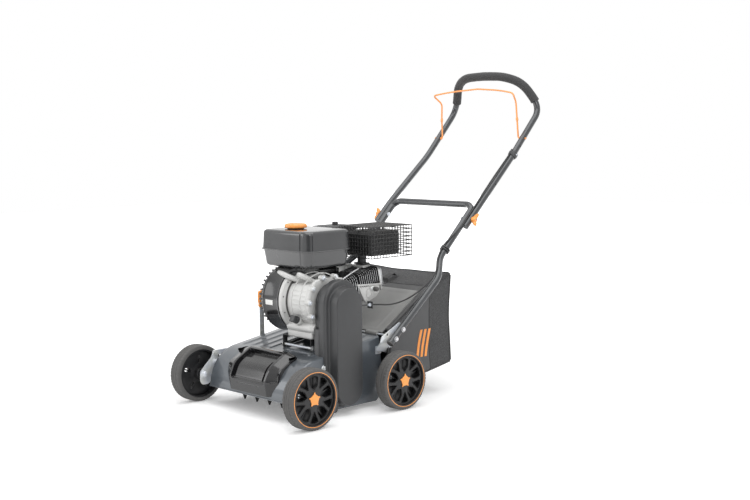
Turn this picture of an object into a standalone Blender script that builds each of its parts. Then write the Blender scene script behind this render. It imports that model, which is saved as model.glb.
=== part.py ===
"""Petrol lawn scarifier with a folding handle, a grass bag and adjustable front wheels.

Metres, +Z up, the front of the machine towards -Y. A station is a distance behind
the front axle, and the operator's left, where the belt cover is, lies at +X. The
origin is on the ground, in the middle of the whole machine.
"""
import math

import bmesh
import bpy
from mathutils import Matrix, Vector

# Fits
GAP = 0.0003
CUT = 0.002
WELD = 0.00001

# Wheels and axles
WHEEL_RADIUS = 0.090
WHEEL_WIDTH = 0.045
WHEEL_SEGMENTS = 32
WHEEL_FACE_X = 0.2985
WHEELBASE = 0.367
RIM_RADIUS = 0.077
RIM_RECESS = 0.006
HUB_RADIUS = 0.017
AXLE_RADIUS = 0.006
AXLE_END = 0.0060
SPOKES = 5

# Overall placing
HANDLE_REACH = 1.14075
FRONT_AXLE_Y = -(HANDLE_REACH - WHEEL_RADIUS) / 2

# Deck
SHEET = 0.003
DECK_LEFT_X = 0.190
DECK_RIGHT_X = -0.210
DECK_NOSE_RADIUS = 0.115
DECK_NOSE_STATION = 0.1135
DECK_NOSE_HEIGHT = 0.0634
DECK_SLOPE = math.radians(9.0)
DECK_TOP_END = 0.357
DECK_REAR = 0.374
DECK_SKIRT = 0.015
DECK_LIP = 0.058
RIB_HEIGHT = 0.0025
RIB_WIDTH = 0.018
RIB_X = (-0.178, -0.138, -0.098, -0.058, 0.148)
RIB_STATIONS = (0.112, 0.335)

# Front hood
HOOD_HALF_WIDTH = 0.120
HOOD_NOSE_HALF_WIDTH = 0.094
HOOD_BACK = 0.088
HOOD_SLOT_WIDTH = 0.011
HOOD_SLOT_DEPTH = 0.016

# Height adjustment
AXLE_PIVOT = (0.045, 0.125)
PIVOT_ROD_RADIUS = 0.008
ARM_X = 0.2385
ARM_THICKNESS = 0.004
LEVER_STATION = 0.221
CRANK_ARM = 0.030
LINK_X = -0.2325
LEVER_X = -0.2205
LINK_PIN_RADIUS = 0.003
LEVER_TOP = 0.300
LEVER_GRIP_BOTTOM = 0.283
LEVER_GRIP_TOP = 0.338

# Rotor and belt drive
ROTOR_STATION = 0.200
ROTOR_HEIGHT = 0.078
ROTOR_SHAFT_RADIUS = 0.010
BLADES = 13
BLADE_PITCH = 0.0285
BLADE_TIP_RADIUS = 0.062
BLADE_ROOT_RADIUS = 0.026
BLADE_THICKNESS = 0.0025
BLADE_POINTS = 4
SLEEVE_RADIUS = 0.015
BELT_X = 0.208
BELT_WIDTH = 0.010
BELT_THICKNESS = 0.007
PULLEY_WIDTH = 0.016
DRIVE_PULLEY_ROOT = 0.0265
ROTOR_PULLEY_ROOT = 0.0370
PULLEY_LIP = 0.0075
IDLER_RADIUS = 0.012
TENSIONER_HEIGHT = 0.150
IDLER_HEIGHT = 0.215
IDLER_OFFSET = 0.0135

# Belt cover
COVER_WALL = 0.003
COVER_EDGE = 0.004
COVER_FOOT = 0.020
COVER_STEP = 0.0045
COVER_LEVELS = ((0.165, 0.076), (0.195, 0.066), (0.230, 0.049))
COVER_BACK = 0.200 + COVER_LEVELS[0][1]

# Engine
CRANK_STATION = 0.200
CRANK_HEIGHT = 0.335
BASE_DROP = 0.1085
BASE_TOP_DROP = 0.071
ENGINE_FLOOR = CRANK_HEIGHT - BASE_DROP
BRACKET_X = (-0.022, 0.112)
BRACKET_STATIONS = (0.145, 0.300)
CASE_RADIUS = 0.086
CASE_X = (0.032, 0.100)
CASE_COVER_X = 0.112
FILLER_X = 0.080
FILLER_FOOT = (CRANK_STATION - 0.030, CRANK_HEIGHT - 0.073)
FILLER_LEAN = math.radians(157.5)
FILLER_LENGTH = 0.0545
PLUG_SQUARE = 0.022
FLANGE_RADIUS = 0.104
FLANGE_X = 0.020
SHAFT_RADIUS = 0.011
OUTPUT_RADIUS = 0.0095
DRUM_RADIUS = 0.106
DRUM_X = -0.060
RECOIL_RADIUS = 0.098
RECOIL_X = -0.092
RECOIL_LEAN = math.radians(4.0)
CYLINDER_TILT = math.radians(12.0)
CYLINDER_X = (0.024, 0.116)
CYLINDER_SPAN = (0.0923, 0.165)
HEAD_END = 0.235
ROCKER_END = 0.262
FIN_HALF = 0.045
FIN_PITCH = 0.0095
FIN_THICKNESS = 0.0028
MUFFLER_LOW = (0.012, 0.378, CRANK_HEIGHT + 0.1235)
MUFFLER_HIGH = (0.138, 0.508, CRANK_HEIGHT + 0.2020)
GUARD_LOW = (0.000, 0.365, CRANK_HEIGHT + 0.1180)
GUARD_HIGH = (0.152, 0.547, CRANK_HEIGHT + 0.2180)
GUARD_WIRE = 0.0024
GUARD_PITCH = 0.0480
EXHAUST_STATION = 0.400
EXHAUST_FLANGE = CRANK_HEIGHT + 0.095
TANK_X = (-0.125, 0.100)
TANK_STATIONS = (0.146, 0.330)
TANK_HEIGHTS = (CRANK_HEIGHT + 0.097, CRANK_HEIGHT + 0.1525, CRANK_HEIGHT + 0.215)
CAP_PLACE = (-0.030, 0.212)
CAP_RADIUS = 0.036
AIR_X = (-0.105, -0.015)
AIR_STATIONS = (0.345, 0.455)
AIR_HEIGHTS = (CRANK_HEIGHT + 0.117, CRANK_HEIGHT + 0.213)
DUCT_STATIONS = (0.260, 0.346)
DUCT_HEIGHTS = (CRANK_HEIGHT - 0.010, CRANK_HEIGHT + 0.090)
SWITCH_PLACE = (0.318, CRANK_HEIGHT + 0.037)
PLUG_PLACE = (0.392, CRANK_HEIGHT + 0.022)
CARB_STATIONS = (0.384, 0.424)
CARB_HEIGHTS = (CRANK_HEIGHT + 0.043, CRANK_HEIGHT + 0.090)
CHOKE_PIVOT = (0.392, CRANK_HEIGHT + 0.081)
CHOKE_TIP = (0.360, CRANK_HEIGHT + 0.084)
THROTTLE_PIVOT = (0.416, CRANK_HEIGHT + 0.067)
THROTTLE_TIP = (0.446, CRANK_HEIGHT + 0.075)

# Handle
TUBE_RADIUS = 0.011
FOAM_RADIUS = 0.0155
FOAM_FIT = 0.0010
FOAM_BOTTOM = 0.953
LOWER_X = 0.2305
LOWER_TOP_X = 0.1858
UPPER_X = LOWER_TOP_X + 2 * TUBE_RADIUS + 2 * GAP
CLAMP_STATION = 0.762
LEG_FOOT = (0.366, 0.197)
LEG_KNEE = (0.585, 0.382)
LEG_SHOULDER = (0.640, 0.440)
LEG_TOP = (0.795, 0.590)
CROSSBAR = (0.805, 0.603)
UPPER_MIDDLE = (0.198, 0.985, 0.757)
UPPER_TOP = (0.198, 1.143, 0.925)
UPPER_CORNER = (0.150, 1.100, 1.015)
UPPER_ROUND = (0.085, 1.070, 1.037)
UPPER_BAR = (0.000, 1.068, 1.040)
BAIL_RADIUS = 0.003
BAIL_STATION = 1.045
BAIL_X = 0.182
BOLT_RADIUS = 0.003
BRACKET_SHEET = 0.0035
CABLE_RADIUS = 0.0025
CABLE_END = (0.165, 0.353, 0.314)
CLIP_PLACE = (0.1860, 0.6535, 0.4745)
CLIP_STATION = 0.664
ANCHOR_STATION = 0.9935
HOLDER_RADIUS = 0.0165

# Flap and bag
FLAP_HINGE = (0.365, 0.222)
FLAP_ANGLE = math.radians(33.0)
FLAP_LENGTH = 0.214
FLAP_THICKNESS = 0.004
FLAP_HALF_WIDTH = 0.187
HINGE_ROD_RADIUS = 0.003
BAG_HALF_WIDTH = 0.205
BAG_CLOTH = 0.003
BAG_MOUTH = 0.386
BAG_FRAME_RADIUS = 0.004


def start_scene():
    """Empties the scene and makes the two collections."""
    for obj in list(bpy.data.objects):
        bpy.data.objects.remove(obj)
    parts = bpy.data.collections.new("lawn_scarifier")
    cutters = bpy.data.collections.new("cutters")
    bpy.context.scene.collection.children.link(parts)
    bpy.context.scene.collection.children.link(cutters)
    return parts, cutters


PARTS, CUTTERS = start_scene()


def material(name, colour, roughness, metallic):
    """Makes a plain Principled material."""
    mat = bpy.data.materials.new(name)
    mat.use_nodes = True
    shader = mat.node_tree.nodes["Principled BSDF"]
    shader.inputs["Base Color"].default_value = (*colour, 1.0)
    shader.inputs["Roughness"].default_value = roughness
    shader.inputs["Metallic"].default_value = metallic
    mat.diffuse_color = (*colour, 1.0)
    return mat


RUBBER = material("tyre_rubber", (0.06, 0.06, 0.06), 0.85, 0.0)
WHEEL_BLACK = material("wheel_plastic", (0.02, 0.02, 0.022), 0.45, 0.0)
ORANGE = material("orange_plastic", (0.85, 0.25, 0.04), 0.4, 0.0)
DECK_PAINT = material("deck_paint", (0.13, 0.15, 0.17), 0.4, 0.0)
GLOSS_BLACK = material("gloss_black_plastic", (0.015, 0.015, 0.016), 0.2, 0.0)
SATIN_BLACK = material("satin_black_plastic", (0.04, 0.04, 0.042), 0.55, 0.0)
BLACK_PAINT = material("black_paint", (0.02, 0.02, 0.02), 0.35, 0.0)
TUBE_PAINT = material("handle_paint", (0.045, 0.047, 0.05), 0.3, 0.0)
ZINC = material("zinc_plate", (0.62, 0.64, 0.66), 0.3, 1.0)
STEEL = material("bright_steel", (0.55, 0.55, 0.56), 0.3, 1.0)
CAST = material("cast_aluminium", (0.62, 0.63, 0.64), 0.45, 0.9)
HEAT_BLACK = material("heat_paint", (0.03, 0.03, 0.03), 0.7, 0.2)
BELT = material("belt_rubber", (0.03, 0.03, 0.03), 0.8, 0.0)
FOAM = material("foam_rubber", (0.05, 0.05, 0.052), 0.9, 0.0)
CABLE = material("cable_sheath", (0.02, 0.02, 0.02), 0.5, 0.0)
CLOTH = material("bag_cloth", (0.07, 0.07, 0.075), 0.95, 0.0)
FLAP_GREY = material("flap_plastic", (0.10, 0.10, 0.10), 0.45, 0.0)

# Local axes of a flat outline or a turned shape that faces along X, Y or Z
FACING = {
    "X": Matrix(((0, 0, 1), (1, 0, 0), (0, 1, 0))),
    "Y": Matrix(((1, 0, 0), (0, 0, -1), (0, 1, 0))),
    "Z": Matrix.Identity(3),
}


def world(x, station, height):
    """A point of the machine in world coordinates."""
    return Vector((x, FRONT_AXLE_Y + station, height))


def finish(obj, name, mat):
    """Names an object, gives it its material and puts it among the parts."""
    obj.name = name
    obj.data.name = name
    obj.data.materials.clear()
    obj.data.materials.append(mat)
    if obj.name not in PARTS.objects:
        PARTS.objects.link(obj)
    return obj


def shade(mesh, angle=35.0):
    """Smooth shading with sharp edges kept."""
    mesh.shade_smooth()
    mesh.set_sharp_from_angle(angle=math.radians(angle))


def from_bmesh(name, mat, bm, location=(0, 0, 0), rotation=None):
    """Turns a bmesh into a part."""
    mesh = bpy.data.meshes.new(name)
    bm.to_mesh(mesh)
    bm.free()
    shade(mesh)
    obj = bpy.data.objects.new(name, mesh)
    obj.location = location
    if rotation is not None:
        obj.rotation_euler = rotation.to_euler()
    return finish(obj, name, mat)


def as_mesh(obj):
    """Replaces a curve by its welded mesh."""
    bpy.context.view_layer.update()
    graph = bpy.context.evaluated_depsgraph_get()
    mesh = bpy.data.meshes.new_from_object(obj.evaluated_get(graph))
    bm = bmesh.new()
    bm.from_mesh(mesh)
    bmesh.ops.remove_doubles(bm, verts=bm.verts, dist=WELD)
    bmesh.ops.recalc_face_normals(bm, faces=bm.faces)
    bm.to_mesh(mesh)
    bm.free()
    shade(mesh)
    name, mat = obj.name, obj.data.materials[0]
    solid = bpy.data.objects.new(name + "_mesh", mesh)
    solid.matrix_world = obj.matrix_world.copy()
    bpy.data.objects.remove(obj)
    return finish(solid, name, mat)


def box(name, mat, x, station, height, radius=0.0, segments=2):
    """A block between two values on each axis, with rounded edges if asked."""
    bm = bmesh.new()
    bmesh.ops.create_cube(bm, size=1.0)
    size = Vector((x[1] - x[0], station[1] - station[0], height[1] - height[0]))
    bmesh.ops.scale(bm, vec=size, verts=bm.verts)
    centre = world(sum(x) / 2, sum(station) / 2, sum(height) / 2)
    obj = from_bmesh(name, mat, bm, centre)
    if radius:
        soften(obj, radius, segments)
    return obj


def rod(name, mat, start, end, radius, segments=12, end_radius=None):
    """A round bar between two points of the machine."""
    a, b = world(*start), world(*end)
    bm = bmesh.new()
    top = radius if end_radius is None else end_radius
    bmesh.ops.create_cone(bm, cap_ends=True, segments=segments, radius1=radius,
                          radius2=top, depth=(b - a).length)
    turn = (b - a).to_track_quat("Z", "Y").to_matrix()
    return from_bmesh(name, mat, bm, (a + b) / 2, turn)


def rod_x(name, mat, x, station, height, radius, segments=12):
    """A round bar along X."""
    return rod(name, mat, (x[0], station, height), (x[1], station, height), radius, segments)


def turned(name, mat, profile, centre, segments=32, axis="X", closed=False, phase=0.0):
    """Turns a profile of (radius, height) points, top first, about an axis."""
    bm = bmesh.new()
    verts = [bm.verts.new((r, 0.0, h)) for r, h in profile]
    ends = list(zip(verts, verts[1:] + verts[:1]))
    for a, b in ends if closed else ends[:-1]:
        bm.edges.new((a, b))
    turn = FACING[axis] @ Matrix.Rotation(phase, 3, "Z")
    obj = from_bmesh(name, mat, bm, world(*centre), turn)
    screw = obj.modifiers.new("Turn", "SCREW")
    screw.axis = "Z"
    screw.angle = 2 * math.pi
    screw.steps = segments
    screw.render_steps = segments
    screw.use_merge_vertices = True
    screw.merge_threshold = WELD
    screw.use_smooth_shade = True
    return obj


def drum(radius, half):
    """Profile of a plain cylinder, for a turned shape."""
    return [(0, half), (radius, half), (radius, -half), (0, -half)]


def ring(name, mat, x, station, height, outer, inner, segments=32):
    """A plain ring along X."""
    half = (x[1] - x[0]) / 2
    profile = [(outer, half), (outer, -half), (inner, -half), (inner, half)]
    return turned(name, mat, profile, (sum(x) / 2, station, height), segments, closed=True)


def plate(name, mat, axis, points, span, holes=()):
    """A flat outline with holes, as thick as its span along the axis."""
    curve = bpy.data.curves.new(name, "CURVE")
    curve.dimensions = "2D"
    curve.fill_mode = "BOTH"
    curve.extrude = abs(span[1] - span[0]) / 2
    for loop in (points, *holes):
        spline = curve.splines.new("POLY")
        spline.points.add(len(loop) - 1)
        for point, (a, b) in zip(spline.points, loop):
            point.co = (a, b, 0.0, 1.0)
        spline.use_cyclic_u = True
    obj = bpy.data.objects.new(name, curve)
    middle = sum(span) / 2
    places = {
        "X": world(middle, 0, 0),
        "Y": world(0, middle, 0),
        "Z": world(0, 0, middle),
    }
    obj.location = places[axis]
    obj.rotation_euler = FACING[axis].to_euler()
    return as_mesh(finish(obj, name, mat))


def tube(name, mat, points, radius, resolution=3, cyclic=False):
    """A round tube along world points."""
    curve = bpy.data.curves.new(name, "CURVE")
    curve.dimensions = "3D"
    curve.bevel_depth = radius
    curve.bevel_resolution = resolution
    curve.use_fill_caps = True
    spline = curve.splines.new("POLY")
    spline.points.add(len(points) - 1)
    for point, place in zip(spline.points, points):
        point.co = (*place, 1.0)
    spline.use_cyclic_u = cyclic
    spline.use_smooth = True
    return finish(bpy.data.objects.new(name, curve), name, mat)


def arc(centre, radius, start, end, count):
    """Points of an arc, from one angle in degrees to another."""
    angles = [math.radians(start + (end - start) * i / (count - 1)) for i in range(count)]
    return [(centre[0] + radius * math.cos(a), centre[1] + radius * math.sin(a)) for a in angles]


def circle(centre, radius, count):
    """Points of a full circle."""
    return arc(centre, radius, 0, 360, count + 1)[:-1]


def capsule(station, low, high, radius, count=9):
    """An upright outline with round ends."""
    top = arc((station, high), radius, 0, 180, count)
    return top + arc((station, low), radius, 180, 360, count)


def bend(points, trims, steps=5):
    """Rounds the inner corners of a path by the given trim lengths."""
    path = [Vector(p) for p in points]
    result = [path[0]]
    for before, corner, after, trim in zip(path, path[1:], path[2:], trims):
        a = corner + (before - corner).normalized() * trim
        b = corner + (after - corner).normalized() * trim
        for i in range(steps + 1):
            t = i / steps
            result.append(a * (1 - t) ** 2 + corner * 2 * t * (1 - t) + b * t ** 2)
    result.append(path[-1])
    return result


def rounded(points, radius, steps=3):
    """Rounds every corner of a closed flat outline."""
    count = len(points)
    result = []
    for i, corner in enumerate(points):
        c = Vector(corner)
        a = Vector(points[i - 1]) - c
        b = Vector(points[(i + 1) % count]) - c
        trim = min(radius, a.length * 0.45, b.length * 0.45)
        start, end = c + a.normalized() * trim, c + b.normalized() * trim
        for k in range(steps + 1):
            t = k / steps
            p = start * (1 - t) ** 2 + c * 2 * t * (1 - t) + end * t ** 2
            result.append((p.x, p.y))
    return result


def soften(obj, width, segments=2, angle=35.0):
    """Rounds the sharp edges."""
    bevel = obj.modifiers.new("Round edges", "BEVEL")
    bevel.width = width
    bevel.segments = segments
    bevel.limit_method = "ANGLE"
    bevel.angle_limit = math.radians(angle)
    return obj


def combine(target, other, operation):
    """Adds a Boolean with another solid, which becomes a guide."""
    modifier = target.modifiers.new(operation.title(), "BOOLEAN")
    modifier.operation = operation
    modifier.solver = "EXACT"
    modifier.object = other
    other.hide_render = True
    other.display_type = "WIRE"
    if other.name in PARTS.objects:
        PARTS.objects.unlink(other)
    if other.name not in CUTTERS.objects:
        CUTTERS.objects.link(other)
    return target


def add(target, *others):
    """Joins solids into one."""
    for other in others:
        combine(target, other, "UNION")
    return target


def cut(target, *others):
    """Takes solids away."""
    for other in others:
        combine(target, other, "DIFFERENCE")
    return target


def origin_to(obj, x, station, height):
    """Puts an object's origin on its joint axis, with its shape left in place."""
    bpy.context.view_layer.update()
    target = world(x, station, height)
    shift = obj.matrix_world.inverted() @ target
    obj.data.transform(Matrix.Translation(-shift))
    obj.location = target
    return obj


def mirrored(points):
    """A path that starts at the left foot, with its right half added."""
    return points + [Vector((-p[0], p[1], p[2])) for p in reversed(points[:-1])]


def deck_height(station, offset=0.0):
    """Height of the deck's top surface at a station."""
    along = station - DECK_NOSE_STATION - DECK_NOSE_RADIUS * -math.sin(DECK_SLOPE)
    start = DECK_NOSE_HEIGHT + DECK_NOSE_RADIUS * math.cos(DECK_SLOPE)
    return start + along * math.tan(DECK_SLOPE) + offset / math.cos(DECK_SLOPE)


def deck_curve(offset, end, count=10):
    """The nose and the sloping top of the deck, seen from the side."""
    centre = (DECK_NOSE_STATION, DECK_NOSE_HEIGHT)
    nose = arc(centre, DECK_NOSE_RADIUS + offset, 180, 90 + math.degrees(DECK_SLOPE), count)
    return nose + [(end, deck_height(end, offset))]


def deck_clearance(name, x, lift=GAP):
    """The deck's outside with the usual gap, to cut what stands on it."""
    far = DECK_REAR + 0.1
    outline = deck_curve(lift, far, 22) + [(far, -CUT)]
    outline.append((DECK_NOSE_STATION - DECK_NOSE_RADIUS - lift, -CUT))
    return plate(name, DECK_PAINT, "X", outline, x)


def deck_housing():
    """Steel deck: a bent top sheet with ribs between two side plates."""
    lip = (DECK_NOSE_STATION - DECK_NOSE_RADIUS, DECK_LIP)
    skirt = [(DECK_REAR, deck_height(DECK_TOP_END) - 0.022), (DECK_REAR, 0.050),
             (0.345, DECK_SKIRT), (0.118, DECK_SKIRT), (0.078, DECK_LIP)]
    outline = [lip] + deck_curve(0.0, DECK_TOP_END, 12) + skirt
    deck = plate("deck_housing", DECK_PAINT, "X", outline, (DECK_RIGHT_X, DECK_LEFT_X))
    for i, x in enumerate(RIB_X):
        lane = (x - RIB_WIDTH / 2, x + RIB_WIDTH / 2)
        low, high = RIB_STATIONS
        slope = [(low, deck_height(low)), (low + 0.006, deck_height(low + 0.006, RIB_HEIGHT)),
                 (high - 0.006, deck_height(high - 0.006, RIB_HEIGHT)), (high, deck_height(high)),
                 (high, deck_height(high, -SHEET / 2)), (low, deck_height(low, -SHEET / 2))]
        add(deck, plate(f"deck_rib_{i}", DECK_PAINT, "X", slope, lane))
    far = DECK_REAR + 0.05
    chamber = deck_curve(-SHEET, far, 12) + [(far, -CUT)]
    chamber.append((DECK_NOSE_STATION - DECK_NOSE_RADIUS + SHEET, -CUT))
    inside = (DECK_RIGHT_X + SHEET, DECK_LEFT_X - SHEET)
    cut(deck, plate("deck_chamber", DECK_PAINT, "X", chamber, inside))
    lever_end = LEVER_X - ARM_THICKNESS / 2
    shoulder = LEVER_X + ARM_THICKNESS / 2 + GAP
    add(deck,
        rod_x("lever_shoulder", DECK_PAINT, (DECK_RIGHT_X - SHEET / 2 + SHEET, shoulder),
              LEVER_STATION, AXLE_PIVOT[1], 0.009),
        rod_x("lever_stud", DECK_PAINT, (DECK_RIGHT_X + SHEET / 2, lever_end - 0.002),
              LEVER_STATION, AXLE_PIVOT[1], 0.005),
        rod_x("tensioner_shoulder", DECK_PAINT, (DECK_LEFT_X - SHEET / 2, 0.1947),
              ROTOR_STATION, TENSIONER_HEIGHT, 0.009),
        rod_x("tensioner_stud", DECK_PAINT, (DECK_LEFT_X - SHEET / 2, 0.1990),
              ROTOR_STATION, TENSIONER_HEIGHT, 0.005))
    across = (DECK_RIGHT_X - CUT, DECK_LEFT_X + CUT)
    cut(deck,
        rod_x("pivot_holes", DECK_PAINT, across, *AXLE_PIVOT, PIVOT_ROD_RADIUS + GAP),
        rod_x("rear_axle_holes", DECK_PAINT, across, WHEELBASE, WHEEL_RADIUS, AXLE_RADIUS + GAP),
        rod_x("rotor_holes", DECK_PAINT, across, ROTOR_STATION, ROTOR_HEIGHT,
              ROTOR_SHAFT_RADIUS + GAP, 40))


def front_hood():
    """Black nose cover with a carrying frame round a raised middle panel."""
    back = deck_height(HOOD_BACK)
    side = [(-0.009, 0.067), (-0.016, 0.112), (0.000, 0.146), (0.010, 0.157),
            (0.070, 0.190), (HOOD_BACK, 0.190), (HOOD_BACK, back - 0.01), (0.05, 0.10), (0.02, 0.067)]
    half = HOOD_HALF_WIDTH
    hood = plate("front_hood", GLOSS_BLACK, "X", side, (-half, half))
    nose = HOOD_NOSE_HALF_WIDTH
    plan = [(-half, HOOD_BACK + 0.01), (-half, 0.004), (-nose, -0.020), (-nose, -0.03),
            (nose, -0.03), (nose, -0.020), (half, 0.004), (half, HOOD_BACK + 0.01)]
    combine(hood, plate("hood_plan", GLOSS_BLACK, "Z", plan, (0.05, 0.21)), "INTERSECT")
    shoulders = [(-half - CUT, 0.05), (-half - CUT, 0.158), (-0.100, 0.1745), (-0.080, 0.22),
                 (0.080, 0.22), (0.100, 0.1745), (half + CUT, 0.158), (half + CUT, 0.05)]
    combine(hood, plate("hood_front_view", GLOSS_BLACK, "Y", shoulders, (-0.05, 0.2)), "INTERSECT")
    soften(hood, 0.004, 2, 20.0)
    cut(hood, deck_clearance("deck_under_hood", (-half - CUT, half + CUT)))
    panel = 0.072
    frame = panel + HOOD_SLOT_WIDTH
    for i, sign in enumerate((-1, 1)):
        slot = [(sign * panel, -0.05), (sign * (panel - 0.006), 0.062),
                (sign * (frame - 0.006), 0.062), (sign * frame, -0.05)]
        slot_solid = plate(f"hood_slot_{i}", GLOSS_BLACK, "Z", slot, (0.122, 0.215))
        floor = [(-0.05, 0.110), (0.018 - HOOD_SLOT_DEPTH, 0.118), (0.062, 0.190 - HOOD_SLOT_DEPTH),
                 (0.10, 0.30), (-0.05, 0.30)]
        reach = (-half - CUT, half + CUT)
        combine(slot_solid, plate(f"hood_slot_floor_{i}", GLOSS_BLACK, "X", floor, reach),
                "INTERSECT")
        cut(hood, slot_solid)
    bar = [(0.050, 0.25), (0.062, 0.25), (0.062, 0.174), (0.050, 0.174)]
    cut(hood, plate("hood_slot_back", GLOSS_BLACK, "X", bar, (0.005 - panel, panel - 0.005)))


def wheel_at(name, side, station):
    """Tyre, spoked rim and star cap of one wheel."""
    height = WHEEL_RADIUS
    middle = side * (WHEEL_FACE_X - WHEEL_WIDTH / 2)
    half = WHEEL_WIDTH / 2
    phase = math.pi / WHEEL_SEGMENTS
    crown = WHEEL_RADIUS / math.cos(phase)
    tyre = [(crown - 0.006, half), (crown, half - 0.007), (crown, 0.007 - half),
            (crown - 0.006, -half), (RIM_RADIUS, -half), (RIM_RADIUS, half)]
    centre = (middle, station, height)
    turned(f"tyre_{name}", RUBBER, tyre, centre, WHEEL_SEGMENTS, closed=True, phase=phase)
    face = side * (WHEEL_FACE_X - RIM_RECESS)
    back = face - side * 0.009
    windows = []
    for i in range(SPOKES):
        turn = 360.0 * i / SPOKES + 90.0
        big = [(0.026, 0), (0.045, -22), (0.067, -19), (0.067, 19), (0.045, 22)]
        small = [(0.040, 36), (0.066, 27.5), (0.066, 44.5)]
        for shape in (big, small):
            windows.append([(r * math.cos(math.radians(turn + a)),
                             r * math.sin(math.radians(turn + a))) for r, a in shape])
    here = [[(a + station, b + height) for a, b in loop] for loop in windows]
    open_end = side * (WHEEL_FACE_X - WHEEL_WIDTH + 0.0015)
    outer = RIM_RADIUS - GAP
    rim = turned(f"rim_{name}", WHEEL_BLACK, drum(outer, abs(face - open_end) / 2),
                 ((face + open_end) / 2, station, height), WHEEL_SEGMENTS, phase=phase)
    cut(rim, rod_x(f"dish_{name}", WHEEL_BLACK, sorted((back, open_end - side * CUT)), station,
                   height, outer - 0.005, WHEEL_SEGMENTS))
    for i, loop in enumerate(windows):
        here = [(a + station, b + height) for a, b in loop]
        cut(rim, plate(f"window_{name}_{i}", WHEEL_BLACK, "X", here,
                       sorted((face + side * CUT, back - side * CUT))))
    inner_end = side * (WHEEL_FACE_X - WHEEL_WIDTH)
    hub = rod_x(f"hub_{name}", WHEEL_BLACK, sorted((inner_end, face - side * CUT)), station,
                height, HUB_RADIUS, 10)
    bore = rod_x(f"bore_{name}", WHEEL_BLACK,
                 sorted((inner_end - side * CUT, face - side * AXLE_END + side * GAP)),
                 station, height, AXLE_RADIUS + GAP, 24)
    add(rim, hub)
    cut(rim, bore)
    star = []
    for i in range(SPOKES):
        turn = 360.0 * i / SPOKES + 90.0
        star += arc((station, height), 0.0175, turn - 8, turn + 8, 2)
        star += arc((station, height), 0.0125, turn + 22, turn + 50, 2)
    cap_x = sorted((face - side * CUT, face + side * 0.0045))
    add(rim, plate(f"hub_cap_{name}", ORANGE, "X", star, cap_x))


def wheels_and_axles():
    """Four wheels, the fixed rear axle and the swinging front axle."""
    for side, hand in ((1, "left"), (-1, "right")):
        wheel_at(f"front_{hand}", side, 0.0)
        wheel_at(f"rear_{hand}", side, WHEELBASE)
    tip = WHEEL_FACE_X - RIM_RECESS - AXLE_END
    rod_x("rear_axle", ZINC, (-tip, tip), WHEELBASE, WHEEL_RADIUS, AXLE_RADIUS, 10)
    reach = ARM_X + ARM_THICKNESS
    axle = rod_x("front_axle", ZINC, (-reach, reach), *AXLE_PIVOT, PIVOT_ROD_RADIUS, 12)
    y, z = AXLE_PIVOT
    arm = [(-0.014, 0.100), (0.030, 0.140), (0.056, 0.140), (0.060, 0.115), (0.018, 0.056),
           (-0.008, 0.056), (-0.016, 0.072)]
    ear = [(-0.014, 0.100), (0.030, 0.140), (y - 0.008, z + CRANK_ARM + 0.007),
           (y + 0.008, z + CRANK_ARM + 0.007), (0.060, 0.115), (0.018, 0.056), (-0.008, 0.056),
           (-0.016, 0.072)]
    for side, shape, hand in ((1, arm, "left"), (-1, ear, "right")):
        span = sorted((side * ARM_X, side * reach))
        outline = rounded(shape, 0.006, 2)
        add(axle,
            plate(f"arm_{hand}", ZINC, "X", outline, span),
            rod_x(f"stub_{hand}", ZINC, sorted((side * (ARM_X - 0.006), side * tip)), 0.0,
                  WHEEL_RADIUS, AXLE_RADIUS, 10),
            rod_x(f"nut_{hand}", ZINC, sorted((side * (ARM_X - 0.009), side * (ARM_X + 0.001))),
                  0.0, WHEEL_RADIUS, 0.011, 6))
    pin = (-ARM_X - 0.001, LINK_X + ARM_THICKNESS / 2 + 0.001)
    add(axle, rod_x("arm_pin", ZINC, pin, y, z + CRANK_ARM, LINK_PIN_RADIUS, 12))
    origin_to(axle, 0.0, y, z)


def height_lever():
    """Lever on the far side, its grip and the flat link to the front axle."""
    y, z = LEVER_STATION, AXLE_PIVOT[1]
    lever_x = (LEVER_X - ARM_THICKNESS / 2, LEVER_X + ARM_THICKNESS / 2)
    bar = rounded([(y - 0.009, z - 0.016), (y + 0.009, z - 0.016), (y + 0.009, LEVER_TOP),
                   (y - 0.009, LEVER_TOP)], 0.005)
    lever = plate("depth_lever", ZINC, "X", bar, lever_x, [circle((y, z), 0.005 + GAP, 12)])
    pin = (LINK_X - ARM_THICKNESS / 2 - 0.001, LEVER_X)
    add(lever, rod_x("lever_pin", ZINC, pin, y, z + CRANK_ARM, LINK_PIN_RADIUS))
    add(lever, box("lever_grip", ORANGE, (LEVER_X - 0.0075, LEVER_X + 0.0075),
                   (y - 0.014, y + 0.014), (LEVER_GRIP_BOTTOM, LEVER_GRIP_TOP), 0.005, 2))
    origin_to(lever, LEVER_X, y, z)
    front, high = AXLE_PIVOT[0], z + CRANK_ARM
    outline = arc((front, high), 0.008, 90, 270, 7) + arc((y, high), 0.008, -90, 90, 7)
    holes = [circle((front, high), LINK_PIN_RADIUS + GAP, 12),
             circle((y, high), LINK_PIN_RADIUS + GAP, 12)]
    link = plate("depth_link", ZINC, "X", outline,
                 (LINK_X - ARM_THICKNESS / 2, LINK_X + ARM_THICKNESS / 2), holes)
    origin_to(link, LINK_X, y, high)


def blade_outline(points, turn):
    """A star blade seen from the side, about the rotor's axis."""
    outline = []
    for i in range(points):
        a = 360.0 * i / points + turn
        outline += arc((0, 0), BLADE_TIP_RADIUS, a, a + 4, 2)
        outline += arc((0, 0), BLADE_ROOT_RADIUS, a + 45, a + 50, 2)[:1]
    return [(p[0] + ROTOR_STATION, p[1] + ROTOR_HEIGHT) for p in outline]


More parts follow.
